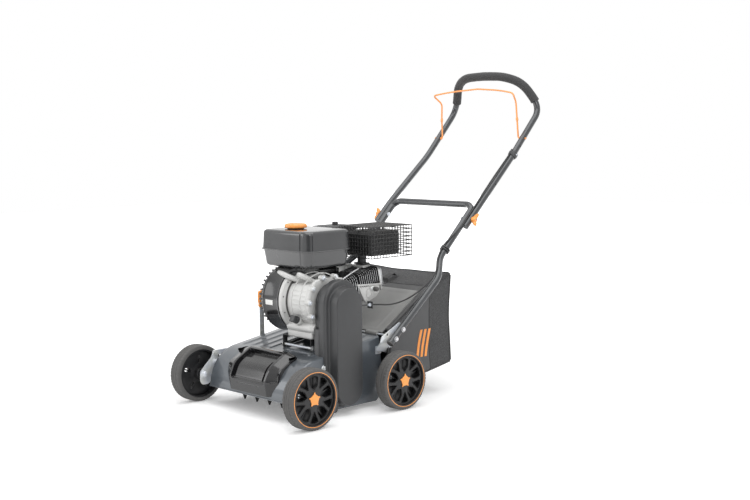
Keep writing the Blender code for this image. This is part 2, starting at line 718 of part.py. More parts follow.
def rotor():
    """Shaft with its stack of fixed blades, and its two bearings."""
    end = BELT_X + PULLEY_WIDTH / 2 + 0.004
    shaft = rod_x("blade_rotor", STEEL, (DECK_RIGHT_X - 0.006, end), ROTOR_STATION,
                  ROTOR_HEIGHT, ROTOR_SHAFT_RADIUS)
    middle = (DECK_LEFT_X + DECK_RIGHT_X) / 2
    half = BLADE_PITCH * (BLADES - 1) / 2
    add(shaft, rod_x("blade_sleeve", STEEL, (middle - half - 0.004, middle + half + 0.004),
                     ROTOR_STATION, ROTOR_HEIGHT, SLEEVE_RADIUS, 6))
    for i in range(BLADES):
        x = middle - half + BLADE_PITCH * i
        turn = -90.0 + (180.0 / BLADE_POINTS) * (i % 2)
        span = (x - BLADE_THICKNESS / 2, x + BLADE_THICKNESS / 2)
        add(shaft, plate(f"blade_{i}", STEEL, "X", blade_outline(BLADE_POINTS, turn), span))
    origin_to(shaft, 0.0, ROTOR_STATION, ROTOR_HEIGHT)
    for side, name, face in ((1, "left", DECK_LEFT_X), (-1, "right", DECK_RIGHT_X)):
        inner = face - side * (SHEET + GAP)
        span = sorted((inner, inner - side * 0.011))
        bearing = rod_x(f"rotor_bearing_{name}", CAST, span, ROTOR_STATION, ROTOR_HEIGHT,
                        0.024, 16)
        lugs = rounded([(ROTOR_STATION - 0.038, ROTOR_HEIGHT - 0.008),
                        (ROTOR_STATION + 0.038, ROTOR_HEIGHT - 0.008),
                        (ROTOR_STATION + 0.038, ROTOR_HEIGHT + 0.008),
                        (ROTOR_STATION - 0.038, ROTOR_HEIGHT + 0.008)], 0.006, 1)
        add(bearing, plate(f"bearing_lugs_{name}", CAST, "X", lugs,
                           sorted((inner - side * 0.001, inner - side * 0.006))))
        cut(bearing, rod_x(f"bearing_bore_{name}", CAST, (span[0] - CUT, span[1] + CUT),
                           ROTOR_STATION, ROTOR_HEIGHT, ROTOR_SHAFT_RADIUS + GAP, 40))


def pulley(name, root, bore, height):
    """A grooved pulley on its shaft."""
    half = PULLEY_WIDTH / 2
    groove = BELT_WIDTH / 2 + GAP
    lip = root + PULLEY_LIP
    profile = [(lip, half), (lip, groove + 0.0006), (root, groove), (root, -groove),
               (lip, -groove - 0.0006), (lip, -half), (bore, -half), (bore, half)]
    return turned(name, ZINC, profile, (BELT_X, CRANK_STATION, height), 20, closed=True)


def belt_outline(low_radius, high_radius, count=17):
    """Outline of a belt run round two pulleys, seen from the side."""
    lean = math.degrees(math.asin((low_radius - high_radius) / (CRANK_HEIGHT - ROTOR_HEIGHT)))
    top = arc((CRANK_STATION, CRANK_HEIGHT), high_radius, lean, 180 - lean, count)
    return top + arc((ROTOR_STATION, ROTOR_HEIGHT), low_radius, 180 - lean, 360 + lean, count)


def belt_drive():
    """Two pulleys, the belt, and the sprung arm that tightens it."""
    pulley("drive_pulley", DRIVE_PULLEY_ROOT, OUTPUT_RADIUS + GAP, CRANK_HEIGHT)
    pulley("rotor_pulley", ROTOR_PULLEY_ROOT, ROTOR_SHAFT_RADIUS + GAP, ROTOR_HEIGHT)
    inner = [r + GAP for r in (ROTOR_PULLEY_ROOT, DRIVE_PULLEY_ROOT)]
    outer = [r + BELT_THICKNESS for r in inner]
    plate("drive_belt", BELT, "X", belt_outline(*outer),
          (BELT_X - BELT_WIDTH / 2, BELT_X + BELT_WIDTH / 2), [belt_outline(*inner)])
    pivot = (ROTOR_STATION, TENSIONER_HEIGHT)
    wheel = (ROTOR_STATION + IDLER_OFFSET, IDLER_HEIGHT)
    lean = math.degrees(math.atan2(wheel[1] - pivot[1], wheel[0] - pivot[0]))
    outline = arc(pivot, 0.010, lean + 90, lean + 270, 9)
    outline += arc(wheel, 0.008, lean - 90, lean + 90, 9)
    arm = plate("tensioner_arm", ZINC, "X", outline, (0.1950, 0.1980),
                [circle(pivot, 0.005 + GAP, 12)])
    add(arm, rod_x("idler_pin", ZINC, (0.1970, BELT_X + BELT_WIDTH / 2 + 0.002), *wheel, 0.004))
    origin_to(arm, 0.1965, *pivot)
    ring("idler_pulley", WHEEL_BLACK, (BELT_X - BELT_WIDTH / 2, BELT_X + BELT_WIDTH / 2), *wheel,
         IDLER_RADIUS, 0.004 + GAP, 16)


def capsule_stack(name, rings):
    """A stepped solid through capsule outlines given as (x, radius, foot height)."""
    bm = bmesh.new()
    loops = []
    for x, radius, low in rings:
        outline = capsule(CRANK_STATION, low + radius, CRANK_HEIGHT, radius)
        loops.append([bm.verts.new(world(x, *p)) for p in outline])
    bm.faces.new(loops[0])
    bm.faces.new(loops[-1])
    for first, second in zip(loops, loops[1:]):
        for i in range(len(first)):
            bm.faces.new((first[i - 1], first[i], second[i], second[i - 1]))
    bmesh.ops.recalc_face_normals(bm, faces=bm.faces)
    return from_bmesh(name, SATIN_BLACK, bm)


def belt_cover():
    """Stepped cover with round ends over the belt drive."""
    outside, inside = [], []
    before = CASE_COVER_X + GAP
    for i, (end, radius) in enumerate(COVER_LEVELS):
        low = COVER_FOOT + COVER_STEP * i
        outside += [(before, radius, low), (end - COVER_EDGE, radius, low),
                    (end, radius - COVER_EDGE, low + COVER_EDGE)]
        inside += [(before - COVER_WALL, radius - COVER_WALL, low + COVER_WALL),
                   (end - COVER_WALL, radius - COVER_WALL, low + COVER_WALL)]
        before = end
    cover = capsule_stack("belt_cover", outside)
    add(cover, *cable_stop())
    foot = [(0.112, 0.012), (0.160, 0.012), (0.176, 0.055), (0.168, 0.076), (0.140, 0.060)]
    add(cover, plate("cover_foot", SATIN_BLACK, "X", foot, (0.1985, 0.2120)))
    cut(cover, capsule_stack("cover_hollow", inside),
        deck_clearance("deck_under_cover", (0.05, DECK_LEFT_X + GAP)),
        deck_clearance("rib_under_cover", (RIB_X[-1] - RIB_WIDTH / 2 - GAP,
                                           RIB_X[-1] + RIB_WIDTH / 2 + GAP), RIB_HEIGHT + 2 * GAP))


def tilted(name, mat, x, along, across, radius=0.0):
    """A block in the cylinder's slanting frame, measured from the crankshaft."""
    bm = bmesh.new()
    bmesh.ops.create_cube(bm, size=1.0)
    size = (x[1] - x[0], along[1] - along[0], across[1] - across[0])
    bmesh.ops.scale(bm, vec=size, verts=bm.verts)
    s, t = sum(along) / 2, sum(across) / 2
    centre = world(sum(x) / 2,
                   CRANK_STATION + s * math.cos(CYLINDER_TILT) - t * math.sin(CYLINDER_TILT),
                   CRANK_HEIGHT + s * math.sin(CYLINDER_TILT) + t * math.cos(CYLINDER_TILT))
    obj = from_bmesh(name, mat, bm, centre, Matrix.Rotation(CYLINDER_TILT, 3, "X"))
    if radius:
        soften(obj, radius)
    return obj


def engine_bracket():
    """Folded steel stand between the deck and the engine, with a tie rod."""
    y, x = BRACKET_STATIONS, BRACKET_X
    top = ENGINE_FLOOR - GAP
    stand = box("engine_bracket", BLACK_PAINT, x, y, (0.150, top))
    cut(stand,
        box("bracket_hollow", BLACK_PAINT, (x[0] + SHEET, x[1] - SHEET),
            (y[0] - CUT, y[1] + CUT), (0.10, top - SHEET - 0.002)),
        deck_clearance("deck_under_bracket", (x[0] - CUT, x[1] + CUT)))
    add(stand, rod_x("tie_rod", ZINC, (x[0] + SHEET / 2, x[1] - SHEET / 2), y[0] + 0.008,
                     ENGINE_FLOOR - 0.0245, 0.004, 16))


def filler_point(distance):
    """Point on the slanting axis of the oil filler."""
    return (FILLER_X, FILLER_FOOT[0] + distance * math.cos(FILLER_LEAN),
            FILLER_FOOT[1] + distance * math.sin(FILLER_LEAN))


def crankcase():
    """Cast case with a round flange for the fan housing, a base and a cylinder seat."""
    y, z = CRANK_STATION, CRANK_HEIGHT
    case = rod_x("crankcase", CAST, CASE_X, y, z, CASE_RADIUS, 28)
    add(case,
        rod_x("case_flange", CAST, (FLANGE_X, CASE_X[0] + 0.001), y, z, FLANGE_RADIUS, 32),
        box("case_base", CAST, (FLANGE_X, CASE_X[1]), (0.130, 0.286),
            (ENGINE_FLOOR, z - BASE_TOP_DROP), 0.004),
        tilted("cylinder_seat", CAST, (CYLINDER_X[0] + 0.004, CASE_X[1]),
               (0.02, CYLINDER_SPAN[0] - GAP), (-0.044, 0.044), 0.003))
    for i in range(5):
        h = z - 0.030 + 0.016 * i
        depth = math.sqrt(CASE_RADIUS ** 2 - (h - z) ** 2)
        add(case, box(f"case_rib_{i}", CAST, (0.062, 0.099),
                      (y - depth - 0.003, y - depth + 0.02), (h - 0.002, h + 0.002)))
    add(case, rod("filler_boss", CAST, filler_point(0), filler_point(FILLER_LENGTH), 0.0125, 16))
    cut(case, rod_x("case_bore", CAST, (-0.02, 0.15), y, z, SHAFT_RADIUS + GAP, 16))
    seat = FILLER_LENGTH + GAP
    plug = rod("oil_plug", SATIN_BLACK, filler_point(seat), filler_point(seat + 0.008), 0.0115, 16)
    add(plug, rod("plug_head", SATIN_BLACK, filler_point(seat + 0.0075),
                  filler_point(seat + 0.0215), PLUG_SQUARE / math.sqrt(2), 4))
    cover = rod_x("crankcase_cover", CAST, (CASE_X[1] + GAP, CASE_COVER_X), y, z, CASE_RADIUS, 28)
    add(cover, rod_x("cover_boss", CAST, (CASE_X[1] + 0.002, CASE_COVER_X + 0.008), y, z, 0.028, 16))
    for i in range(6):
        a = math.radians(36.0 * i)
        place = (y + 0.0812 * math.cos(a), z + 0.0812 * math.sin(a))
        add(cover, rod_x(f"case_bolt_{i}", ZINC, (CASE_COVER_X - 0.002, CASE_COVER_X + 0.0045),
                         *place, 0.0046, 6))
    cut(cover, rod_x("cover_bore", CAST, (0.09, 0.13), y, z, SHAFT_RADIUS + GAP, 16))


def crank_train():
    """Crankshaft with its stepped output end, and the finned flywheel."""
    y, z = CRANK_STATION, CRANK_HEIGHT
    end = BELT_X + PULLEY_WIDTH / 2 + 0.003
    step = CASE_COVER_X + 0.010
    profile = [(0, end), (OUTPUT_RADIUS, end), (OUTPUT_RADIUS, step), (SHAFT_RADIUS, step),
               (SHAFT_RADIUS, -0.050), (0, -0.050)]
    turned("crankshaft", STEEL, profile, (0.0, y, z), 16)
    outline = []
    fins = 12
    for i in range(fins):
        a = 360.0 * i / fins
        outline += arc((y, z), 0.092, a - 3, a + 3, 2)
        outline += arc((y, z), 0.064, a + 7, a + 360.0 / fins - 7, 2)
    wheel = plate("flywheel", CAST, "X", outline, (-0.044, -0.006),
                  [circle((y, z), SHAFT_RADIUS + GAP, 16)])
    origin_to(wheel, 0.0, y, z)


def blower():
    """Fan housing with its duct to the cylinder, starter cover and pull grip."""
    y, z = CRANK_STATION, CRANK_HEIGHT
    wall = 0.003
    near = FLANGE_X - GAP
    drum = rod_x("blower_housing", GLOSS_BLACK, (DRUM_X, near), y, z, DRUM_RADIUS, 32)
    soften(drum, 0.003, 1)
    duct_y, duct_z = DUCT_STATIONS, DUCT_HEIGHTS
    add(drum, box("blower_duct", GLOSS_BLACK, (-0.046, near), duct_y, duct_z, 0.005))
    cut(drum,
        rod_x("drum_hollow", GLOSS_BLACK, (DRUM_X + wall, near + CUT), y, z,
              DRUM_RADIUS - wall, 32),
        box("duct_hollow", GLOSS_BLACK, (-0.046 + wall, near + CUT), (duct_y[0] - 0.010, duct_y[1] - wall),
            (duct_z[0] + wall, duct_z[1] - wall)),
        rod_x("drum_inlet", GLOSS_BLACK, (DRUM_X - CUT, DRUM_X + 0.01), y, z, 0.080, 24))
    outer = DRUM_X - GAP
    depth = outer - RECOIL_X
    profile = [(0, -depth + wall), (RECOIL_RADIUS - 0.022, -depth + wall),
               (RECOIL_RADIUS - 0.008, -depth * 0.62), (RECOIL_RADIUS - 0.005, 0.0),
               (RECOIL_RADIUS, 0.0), (RECOIL_RADIUS - 0.004, -depth * 0.7),
               (RECOIL_RADIUS - 0.020, -depth), (0, -depth)]
    cover = turned("recoil_cover", SATIN_BLACK, profile, (outer, y, z), 30)
    slots = 10
    for i in range(slots):
        a = math.radians(360.0 * (i + 0.5) / slots)
        out, over = (math.cos(a), math.sin(a)), (-math.sin(a), math.cos(a))
        slot = [(y + r * out[0] + w * over[0], z + r * out[1] + w * over[1])
                for r, w in ((0.040, -0.004), (0.070, -0.006), (0.070, 0.006), (0.040, 0.004))]
        cut(cover, plate(f"recoil_slot_{i}", SATIN_BLACK, "X", slot,
                         (RECOIL_X - CUT, RECOIL_X + 0.012)))
    lean = RECOIL_LEAN
    out = (math.cos(lean), math.sin(lean))
    grip_x = outer - 0.013
    seat = RECOIL_RADIUS - 0.0009
    place = [(grip_x, y + r * out[0], z + r * out[1]) for r in (seat, seat + 0.0171)]
    grip = rod("recoil_grip", SATIN_BLACK, *place, 0.006, 12, 0.007)
    bar = [(x, place[1][1], place[1][2]) for x in (grip_x - 0.024, grip_x + 0.024)]
    add(grip, rod("grip_bar", SATIN_BLACK, *bar, 0.0075, 12))
    knob = rod_x("engine_switch", SATIN_BLACK, (-0.058, -0.046 - GAP), *SWITCH_PLACE, 0.012, 16)
    add(knob, box("switch_bar", SATIN_BLACK, (-0.064, -0.056),
                  (SWITCH_PLACE[0] - 0.0115, SWITCH_PLACE[0] + 0.0115),
                  (SWITCH_PLACE[1] - 0.003, SWITCH_PLACE[1] + 0.003)))
    origin_to(knob, -0.052, *SWITCH_PLACE)


def cylinder():
    """Finned cylinder and head, rocker cover and spark plug."""
    x = CYLINDER_X
    core = (x[0] + 0.010, x[1] - 0.010)
    barrel = tilted("cylinder_block", HEAT_BLACK, core, CYLINDER_SPAN, (-0.036, 0.036))
    start = FLANGE_RADIUS + 0.001
    count = int((CYLINDER_SPAN[1] - start) / FIN_PITCH)
    for i in range(count):
        s = start + FIN_PITCH * i
        add(barrel, tilted(f"barrel_fin_{i}", HEAT_BLACK, x, (s, s + FIN_THICKNESS),
                           (-FIN_HALF, FIN_HALF)))
    head_start = CYLINDER_SPAN[1] + GAP
    head = tilted("cylinder_head", CAST, core, (head_start, HEAD_END), (-0.038, 0.038))
    lower = tilted("head_casting", CAST, (x[0], x[1] + 0.006), (head_start + 0.004, HEAD_END - 0.012),
                   (-0.040, -0.004), 0.003)
    add(head, lower)
    for i in range(5):
        s = head_start + 0.004 + FIN_PITCH * i
        add(head, tilted(f"head_fin_{i}", CAST, x, (s, s + FIN_THICKNESS), (-0.006, FIN_HALF)))
    middle = sum(x) / 2
    add(head, rod("exhaust_port", CAST, (middle, EXHAUST_STATION, EXHAUST_FLANGE - 0.040),
                  (middle, EXHAUST_STATION, EXHAUST_FLANGE), 0.016, 12))
    tilted("rocker_cover", CAST, (middle - 0.036, middle + 0.036), (HEAD_END + GAP, ROCKER_END),
           (-0.036, 0.036), 0.008)
    side = x[1] + 0.006 + GAP
    plug = rod_x("spark_plug", ZINC, (side, side + 0.010), *PLUG_PLACE, 0.0095, 6)
    add(plug, rod_x("plug_body", ZINC, (side + 0.005, side + 0.030), *PLUG_PLACE, 0.0055, 12))


def exhaust():
    """Silencer on the head and the wire guard round it."""
    low, high = MUFFLER_LOW, MUFFLER_HIGH
    silencer = box("muffler", HEAT_BLACK, (low[0], high[0]), (low[1], high[1]),
                   (low[2], high[2]), 0.012, 2)
    middle = sum(CYLINDER_X) / 2
    add(silencer,
        rod("exhaust_pipe", HEAT_BLACK, (middle, EXHAUST_STATION, EXHAUST_FLANGE + GAP),
            (middle, EXHAUST_STATION, low[2] + 0.01), 0.014, 12))
    a, b = GUARD_LOW, GUARD_HIGH
    counts = [round((b[i] - a[i]) / GUARD_PITCH) for i in range(3)]
    for i, line in enumerate((1, counts[1] - 1)):
        station = a[1] + (b[1] - a[1]) * line / counts[1]
        x = a[0] + (b[0] - a[0]) * (counts[0] // 2) / counts[0]
        add(silencer, rod(f"guard_post_{i}", HEAT_BLACK, (x, station, high[2] - 0.003),
                          (x, station, b[2] - GUARD_WIRE / 2 - GAP), 0.003, 8))
    bm = bmesh.new()
    bmesh.ops.create_cube(bm, size=1.0)
    bottom = [f for f in bm.faces if f.normal.z < -0.5]
    bmesh.ops.delete(bm, geom=bottom, context="FACES_ONLY")
    for axis, count in enumerate(counts):
        lines = [e for e in bm.edges
                 if abs(e.verts[0].co[axis] - e.verts[1].co[axis]) > 0.9]
        bmesh.ops.subdivide_edges(bm, edges=lines, cuts=count - 1, use_grid_fill=True)
    size = Vector(b) - Vector(a)
    bmesh.ops.scale(bm, vec=size, verts=bm.verts)
    centre = (Vector(a) + Vector(b)) / 2
    guard = from_bmesh("muffler_guard", BLACK_PAINT, bm, world(*centre))
    wires = guard.modifiers.new("Wires", "WIREFRAME")
    wires.thickness = GUARD_WIRE
    wires.offset = 0.0
    wires.use_boundary = True
    wires.use_replace = True


def tank():
    """Fuel tank with its seam, filler cap and the two arms under its front."""
    x, y, z = TANK_X, TANK_STATIONS, TANK_HEIGHTS
    upper = box("fuel_tank", GLOSS_BLACK, x, y, (z[1] - 0.001, z[2]), 0.016, 2)
    belly = box("tank_belly", GLOSS_BLACK, (x[0] + 0.004, x[1] - 0.004),
                (y[0] + 0.004, y[1] - 0.004), (z[0], z[1] + 0.014), 0.014, 2)
    seam = rounded([(x[0] - 0.003, y[0] - 0.003), (x[1] + 0.003, y[0] - 0.003),
                    (x[1] + 0.003, y[1] + 0.003), (x[0] - 0.003, y[1] + 0.003)], 0.020, 3)
    add(upper, belly, plate("tank_seam", GLOSS_BLACK, "Z", seam, (z[1] - 0.002, z[1] + 0.002)),
        rod("tank_neck", GLOSS_BLACK, (*CAP_PLACE, z[2] - 0.005), (*CAP_PLACE, z[2] + 0.003),
            0.024, 16))
    cut(upper,
        rod("tank_groove", GLOSS_BLACK, (x[1] + 0.002, y[0] + 0.012, z[0] - CUT),
            (x[1] + 0.002, y[0] + 0.012, z[2] + CUT), 0.008, 12),
        rod_x("tank_recess", GLOSS_BLACK, (x[0] - CUT, CASE_X[0] + 0.004), CRANK_STATION,
              CRANK_HEIGHT, DRUM_RADIUS + 0.004, 40))
    seat = z[2] + 0.003 + GAP
    profile = [(0, 0.013), (CAP_RADIUS - 0.008, 0.013), (CAP_RADIUS - 0.002, 0.010),
               (CAP_RADIUS, 0.004), (CAP_RADIUS - 0.001, 0.0), (0, 0.0)]
    turned("fuel_cap", ORANGE, profile, (*CAP_PLACE, seat), 24, "Z")
    y0, z0 = CRANK_STATION, CRANK_HEIGHT
    arm = [(0.150, z[0] - GAP), (0.172, z[0] - GAP), (0.226, z0 + CASE_RADIUS + 0.006),
           (0.226, z0 + 0.07), (0.19, z0 + 0.07), (0.138, z[0] - 0.016)]
    carrier = plate("tank_bracket", CAST, "X", arm, (0.036, 0.047))
    add(carrier,
        plate("tank_arm_left", CAST, "X", arm, (0.086, 0.097)),
        box("tank_arm_bar", CAST, (0.040, 0.093), (0.196, 0.216), (z0 + 0.07, z0 + CASE_RADIUS + 0.005)))
    cut(carrier, rod_x("case_under_arms", CAST, (0.0, 0.12), y0, z0, CASE_RADIUS + GAP, 28))


def intake():
    """Air cleaner, carburettor and its two small levers on the far side."""
    y, z = AIR_STATIONS, AIR_HEIGHTS
    cleaner = box("air_cleaner", SATIN_BLACK, AIR_X, y, (z[0], z[1] - 0.02), 0.008, 2)
    add(cleaner, box("cleaner_lid", SATIN_BLACK, (AIR_X[0] - 0.003, AIR_X[1] + 0.003),
                     (y[0] - 0.003, y[1] + 0.003), (z[1] - 0.024, z[1]), 0.006, 2))
    knob = (sum(AIR_X) / 2, 0.404)
    add(cleaner, rod("cleaner_nut", SATIN_BLACK, (*knob, z[1] - 0.004), (*knob, z[1] + 0.011),
                     0.009, 12))
    near = CYLINDER_X[0] - GAP
    body = box("carburettor", CAST, (-0.048, near), CARB_STATIONS, CARB_HEIGHTS, 0.003)
    station = sum(CARB_STATIONS) / 2
    add(body, rod("intake_elbow", CAST, (-0.032, station, CARB_HEIGHTS[1] - 0.015),
                  (-0.032, station, z[0] - GAP), 0.015, 12))
    face = -0.048 - GAP
    for name, pivot, tip in (("choke_lever", CHOKE_PIVOT, CHOKE_TIP),
                             ("throttle_lever", THROTTLE_PIVOT, THROTTLE_TIP)):
        lean = math.degrees(math.atan2(tip[1] - pivot[1], tip[0] - pivot[0]))
        outline = arc(pivot, 0.006, lean + 90, lean + 270, 6) + arc(tip, 0.004, lean - 90, lean + 90, 6)
        lever = plate(name, SATIN_BLACK, "X", outline, (face - 0.003, face))
        origin_to(lever, face, *pivot)


def along_leg(a, b, station):
    """Point on a straight run between two (x, station, height) points."""
    t = (station - a[1]) / (b[1] - a[1])
    return tuple(p + (q - p) * t for p, q in zip(a, b))


def over_leg(a, b, station, lift):
    """Point above a straight run, square to it."""
    direction = Vector(b) - Vector(a)
    square = Vector((0, -direction.z, direction.y)).normalized()
    return Vector(along_leg(a, b, station)) + square * lift


def clamp_height():
    """Height of the clamp bolt, on the top run of the lower handle."""
    a, b = LEG_SHOULDER, LEG_TOP
    return a[1] + (b[1] - a[1]) * (CLAMP_STATION - a[0]) / (b[0] - a[0])


def lower_path():
    """Centre line of the lower handle, a U with a knee in each leg."""
    half = [world(LOWER_X, *LEG_FOOT), world(LOWER_X, *LEG_KNEE), world(LOWER_TOP_X, *LEG_SHOULDER),
            world(LOWER_TOP_X, *LEG_TOP), world(LOWER_TOP_X - 0.022, *CROSSBAR), world(0, *CROSSBAR)]
    bent = bend(half, (0.022, 0.022, 0.010, 0.010), 2)
    return mirrored(bent)


def upper_points():
    """Corner points of the upper handle's left half."""
    slope = (LEG_TOP[1] - LEG_SHOULDER[1]) / (LEG_TOP[0] - LEG_SHOULDER[0])
    foot = CLAMP_STATION - 0.024
    knee = CLAMP_STATION + 0.040
    z = clamp_height()
    return [(UPPER_X, foot, z - 0.024 * slope), (UPPER_X, knee, z + 0.040 * slope), UPPER_MIDDLE,
            UPPER_TOP, UPPER_CORNER, UPPER_ROUND, UPPER_BAR]


def upper_path():
    """Centre line of the upper handle's loop."""
    half = [world(*p) for p in upper_points()]
    bent = bend(half, (0.03, 0.03, 0.048, 0.040, 0.028), 2)
    return mirrored(bent)


def bail_pivot():
    """Where the bail's ends enter the legs."""
    return along_leg(UPPER_MIDDLE, UPPER_TOP, BAIL_STATION)


def handles():
    """Lower and upper handle, foam grip and the bail."""
    z = clamp_height()
    low = as_mesh(tube("lower_handle", TUBE_PAINT, lower_path(), TUBE_RADIUS, 3))
    reach = LOWER_X + 0.02
    cut(low, rod_x("clamp_holes", TUBE_PAINT, (-reach, reach), CLAMP_STATION, z,
                   BOLT_RADIUS + GAP, 12))
    for i, (station, height) in enumerate(bracket_bolts()):
        cut(low, rod_x(f"leg_holes_{i}", TUBE_PAINT, (-reach, reach), station, height,
                       BOLT_RADIUS + GAP, 12))
    foot, head = (LOWER_TOP_X, *LEG_SHOULDER), (LOWER_TOP_X, *LEG_TOP)
    clip = along_leg(foot, head, CLIP_STATION)
    add(low, holder("cable_clip", clip, foot, head, 0.010))
    along = (world(*head) - world(*foot)).normalized() * 0.015
    cut(low, rod("clip_groove", SATIN_BLACK, Vector(CLIP_PLACE) - along,
                 Vector(CLIP_PLACE) + along, CABLE_RADIUS + 0.0008, 12))
    up = as_mesh(tube("upper_handle", TUBE_PAINT, upper_path(), TUBE_RADIUS, 3))
    pivot = bail_pivot()
    cut(up,
        rod_x("upper_clamp_holes", TUBE_PAINT, (-reach, reach), CLAMP_STATION, z,
              BOLT_RADIUS + GAP, 12),
        rod_x("bail_holes", TUBE_PAINT, (-reach, reach), pivot[1], pivot[2],
              BAIL_RADIUS + GAP, 12))
    anchor = along_leg(UPPER_MIDDLE, UPPER_TOP, ANCHOR_STATION)
    add(up, holder("cable_anchor", anchor, UPPER_MIDDLE, UPPER_TOP, 0.012))
    origin_to(up, 0.0, CLAMP_STATION, z)
    loop = [p for p in upper_path() if p.z > FOAM_BOTTOM]
    sleeve = tube("foam_grip", FOAM, loop, FOAM_RADIUS, 3)
    sleeve.data.use_fill_caps = False
    grip = as_mesh(sleeve)
    thickness = grip.modifiers.new("Wall", "SOLIDIFY")
    thickness.thickness = FOAM_RADIUS - TUBE_RADIUS - FOAM_FIT
    thickness.offset = -1.0
    origin_to(grip, 0.0, CLAMP_STATION, z)
    corners = [world(UPPER_MIDDLE[0] + TUBE_RADIUS + 0.004, pivot[1], pivot[2]),
               world(BAIL_X - 0.003, pivot[1], pivot[2]), world(0.177, 1.040, 0.893),
               world(0.174, 1.038, 0.946), world(0.187, 1.005, 0.976), world(0.115, 1.020, 0.987),
               world(0.0, 1.038, 0.995)]
    wire = mirrored(bend(corners, (0.008, 0.02, 0.012, 0.014, 0.03), 2))
    bail = as_mesh(tube("bail_lever", ORANGE, wire, BAIL_RADIUS, 1))
    origin_to(bail, 0.0, pivot[1], pivot[2])


def bracket_bolts():
    """The two bolts that hold each leg, on the leg's centre line."""
    a, b = LEG_FOOT, LEG_KNEE
    slope = (b[1] - a[1]) / (b[0] - a[0])
    return [(s, a[1] + (s - a[0]) * slope) for s in (0.382, 0.413)]


def handle_brackets():
    """Zinc brackets between the deck's sides and the legs, with their bolts."""
    outer = LOWER_X - TUBE_RADIUS - GAP
    inner = outer - BRACKET_SHEET
    wing = [(0.328, 0.177), (0.337, 0.207), (0.342, 0.220), (0.420, 0.257), (0.433, 0.247),
            (0.399, 0.198), (0.401, 0.183), (0.384, 0.163)]
    for side, hand, deck in ((1, "left", DECK_LEFT_X), (-1, "right", DECK_RIGHT_X)):
        span = sorted((side * inner, side * outer))
        bracket = plate(f"handle_bracket_{hand}", ZINC, "X", rounded(wing, 0.004, 2), span)
        near = deck + side * GAP
        shelf = sorted((near, side * (inner + 0.001)))
        flange = sorted((near, near + side * BRACKET_SHEET))
        add(bracket,
            box(f"bracket_shelf_{hand}", ZINC, shelf, (0.340, 0.364), (0.184, 0.184 + BRACKET_SHEET)),
            box(f"bracket_flange_{hand}", ZINC, flange, (0.340, 0.364), (0.162, 0.186)))
        for i, (station, height) in enumerate(bracket_bolts()):
            head = side * (LOWER_X + TUBE_RADIUS + GAP)
            add(bracket,
                rod_x(f"leg_bolt_{hand}_{i}", ZINC,
                      sorted((side * (inner + 0.0015), head + side * 0.003)),
                      station, height, BOLT_RADIUS, 8),
                rod_x(f"leg_head_{hand}_{i}", ZINC, sorted((head, head + side * 0.0055)),
                      station, height, 0.0072, 6))


def clamp_knobs():
    """Wing knobs with the bolts that clamp the upper handle."""
    z = clamp_height()
    face = UPPER_X + TUBE_RADIUS + GAP
    inner = LOWER_TOP_X - TUBE_RADIUS - GAP
    for side, hand in ((1, "left"), (-1, "right")):
        knob = rod_x(f"clamp_knob_{hand}", ORANGE, sorted((side * face, side * (face + 0.016))),
                     CLAMP_STATION, z, 0.0095, 12)
        wings = rounded([(CLAMP_STATION - 0.021, z - 0.007), (CLAMP_STATION - 0.021, z + 0.007),
                         (CLAMP_STATION, z + 0.0045), (CLAMP_STATION + 0.021, z + 0.007),
                         (CLAMP_STATION + 0.021, z - 0.007), (CLAMP_STATION, z - 0.0045)], 0.003, 2)
        add(knob,
            plate(f"wings_{hand}", ORANGE, "X", wings,
                  sorted((side * (face + 0.004), side * (face + 0.026)))),
            rod_x(f"clamp_bolt_{hand}", ZINC, sorted((side * (inner - 0.001), side * (face + 0.002))),
                  CLAMP_STATION, z, BOLT_RADIUS, 8),
            rod_x(f"clamp_head_{hand}", ZINC, sorted((side * (inner - 0.005), side * inner)),
                  CLAMP_STATION, z, 0.0065, 10))
        origin_to(knob, side * face, CLAMP_STATION, z)


def smooth_route(points, per_span=4):
    """A smooth curve through the points of a route."""
    path = [Vector(p) for p in points]
    ends = [path[0] * 2 - path[1]] + path + [path[-1] * 2 - path[-2]]
    result = []
    for a, b, c, d in zip(ends, ends[1:], ends[2:], ends[3:]):
        for i in range(per_span):
            t = i / per_span
            result.append(0.5 * ((2 * b) + (c - a) * t + (2 * a - 5 * b + 4 * c - d) * t ** 2
                                 + (3 * b - a - 3 * c + d) * t ** 3))
    result.append(path[-1])
    return result


def cable():
    """Clutch cable from the bail down the left leg to the engine, with its holders."""
    lift = TUBE_RADIUS + CABLE_RADIUS + 0.0008
    z = clamp_height()
    joint = (UPPER_X, CLAMP_STATION - lift * 0.695, z + lift * 0.719)
    knee = upper_points()[1]
    upper = [over_leg(UPPER_MIDDLE, UPPER_TOP, ANCHOR_STATION - 0.0048, lift)]
    upper += [over_leg(knee, UPPER_MIDDLE, s, lift) for s in (0.950, 0.900, 0.850)]
    upper.append(over_leg(knee, UPPER_MIDDLE, 0.808, lift))
    split = 0.0004
    top = [world(*p) for p in upper]
    end = world(*joint) + Vector((0, 0.695, 0.719)) * split
    tube("clutch_cable_upper", CABLE, smooth_route(top + [end], 3), CABLE_RADIUS, 1)
    lower = [joint, (0.2074, 0.728, 0.5457), (0.2000, 0.705, 0.5200), (0.1925, 0.688, 0.5045), CLIP_PLACE,
             (0.1960, 0.6200, 0.4400), (0.2150, 0.5950, 0.4120), (0.2262, 0.5630, 0.3840),
             (0.2200, 0.5250, 0.3560), (0.2090, 0.4900, 0.3330), (0.1990, 0.4500, 0.3175),
             (0.1890, 0.4100, 0.3110), (0.1740, 0.3780, 0.3125), (0.1655, 0.3600, 0.3138),
             CABLE_END]
    route = [world(*p) for p in lower]
    route[0] = route[0] - Vector((0, 0.695, 0.719)) * split
    tube("clutch_cable_lower", CABLE, smooth_route(route, 3), CABLE_RADIUS, 1)


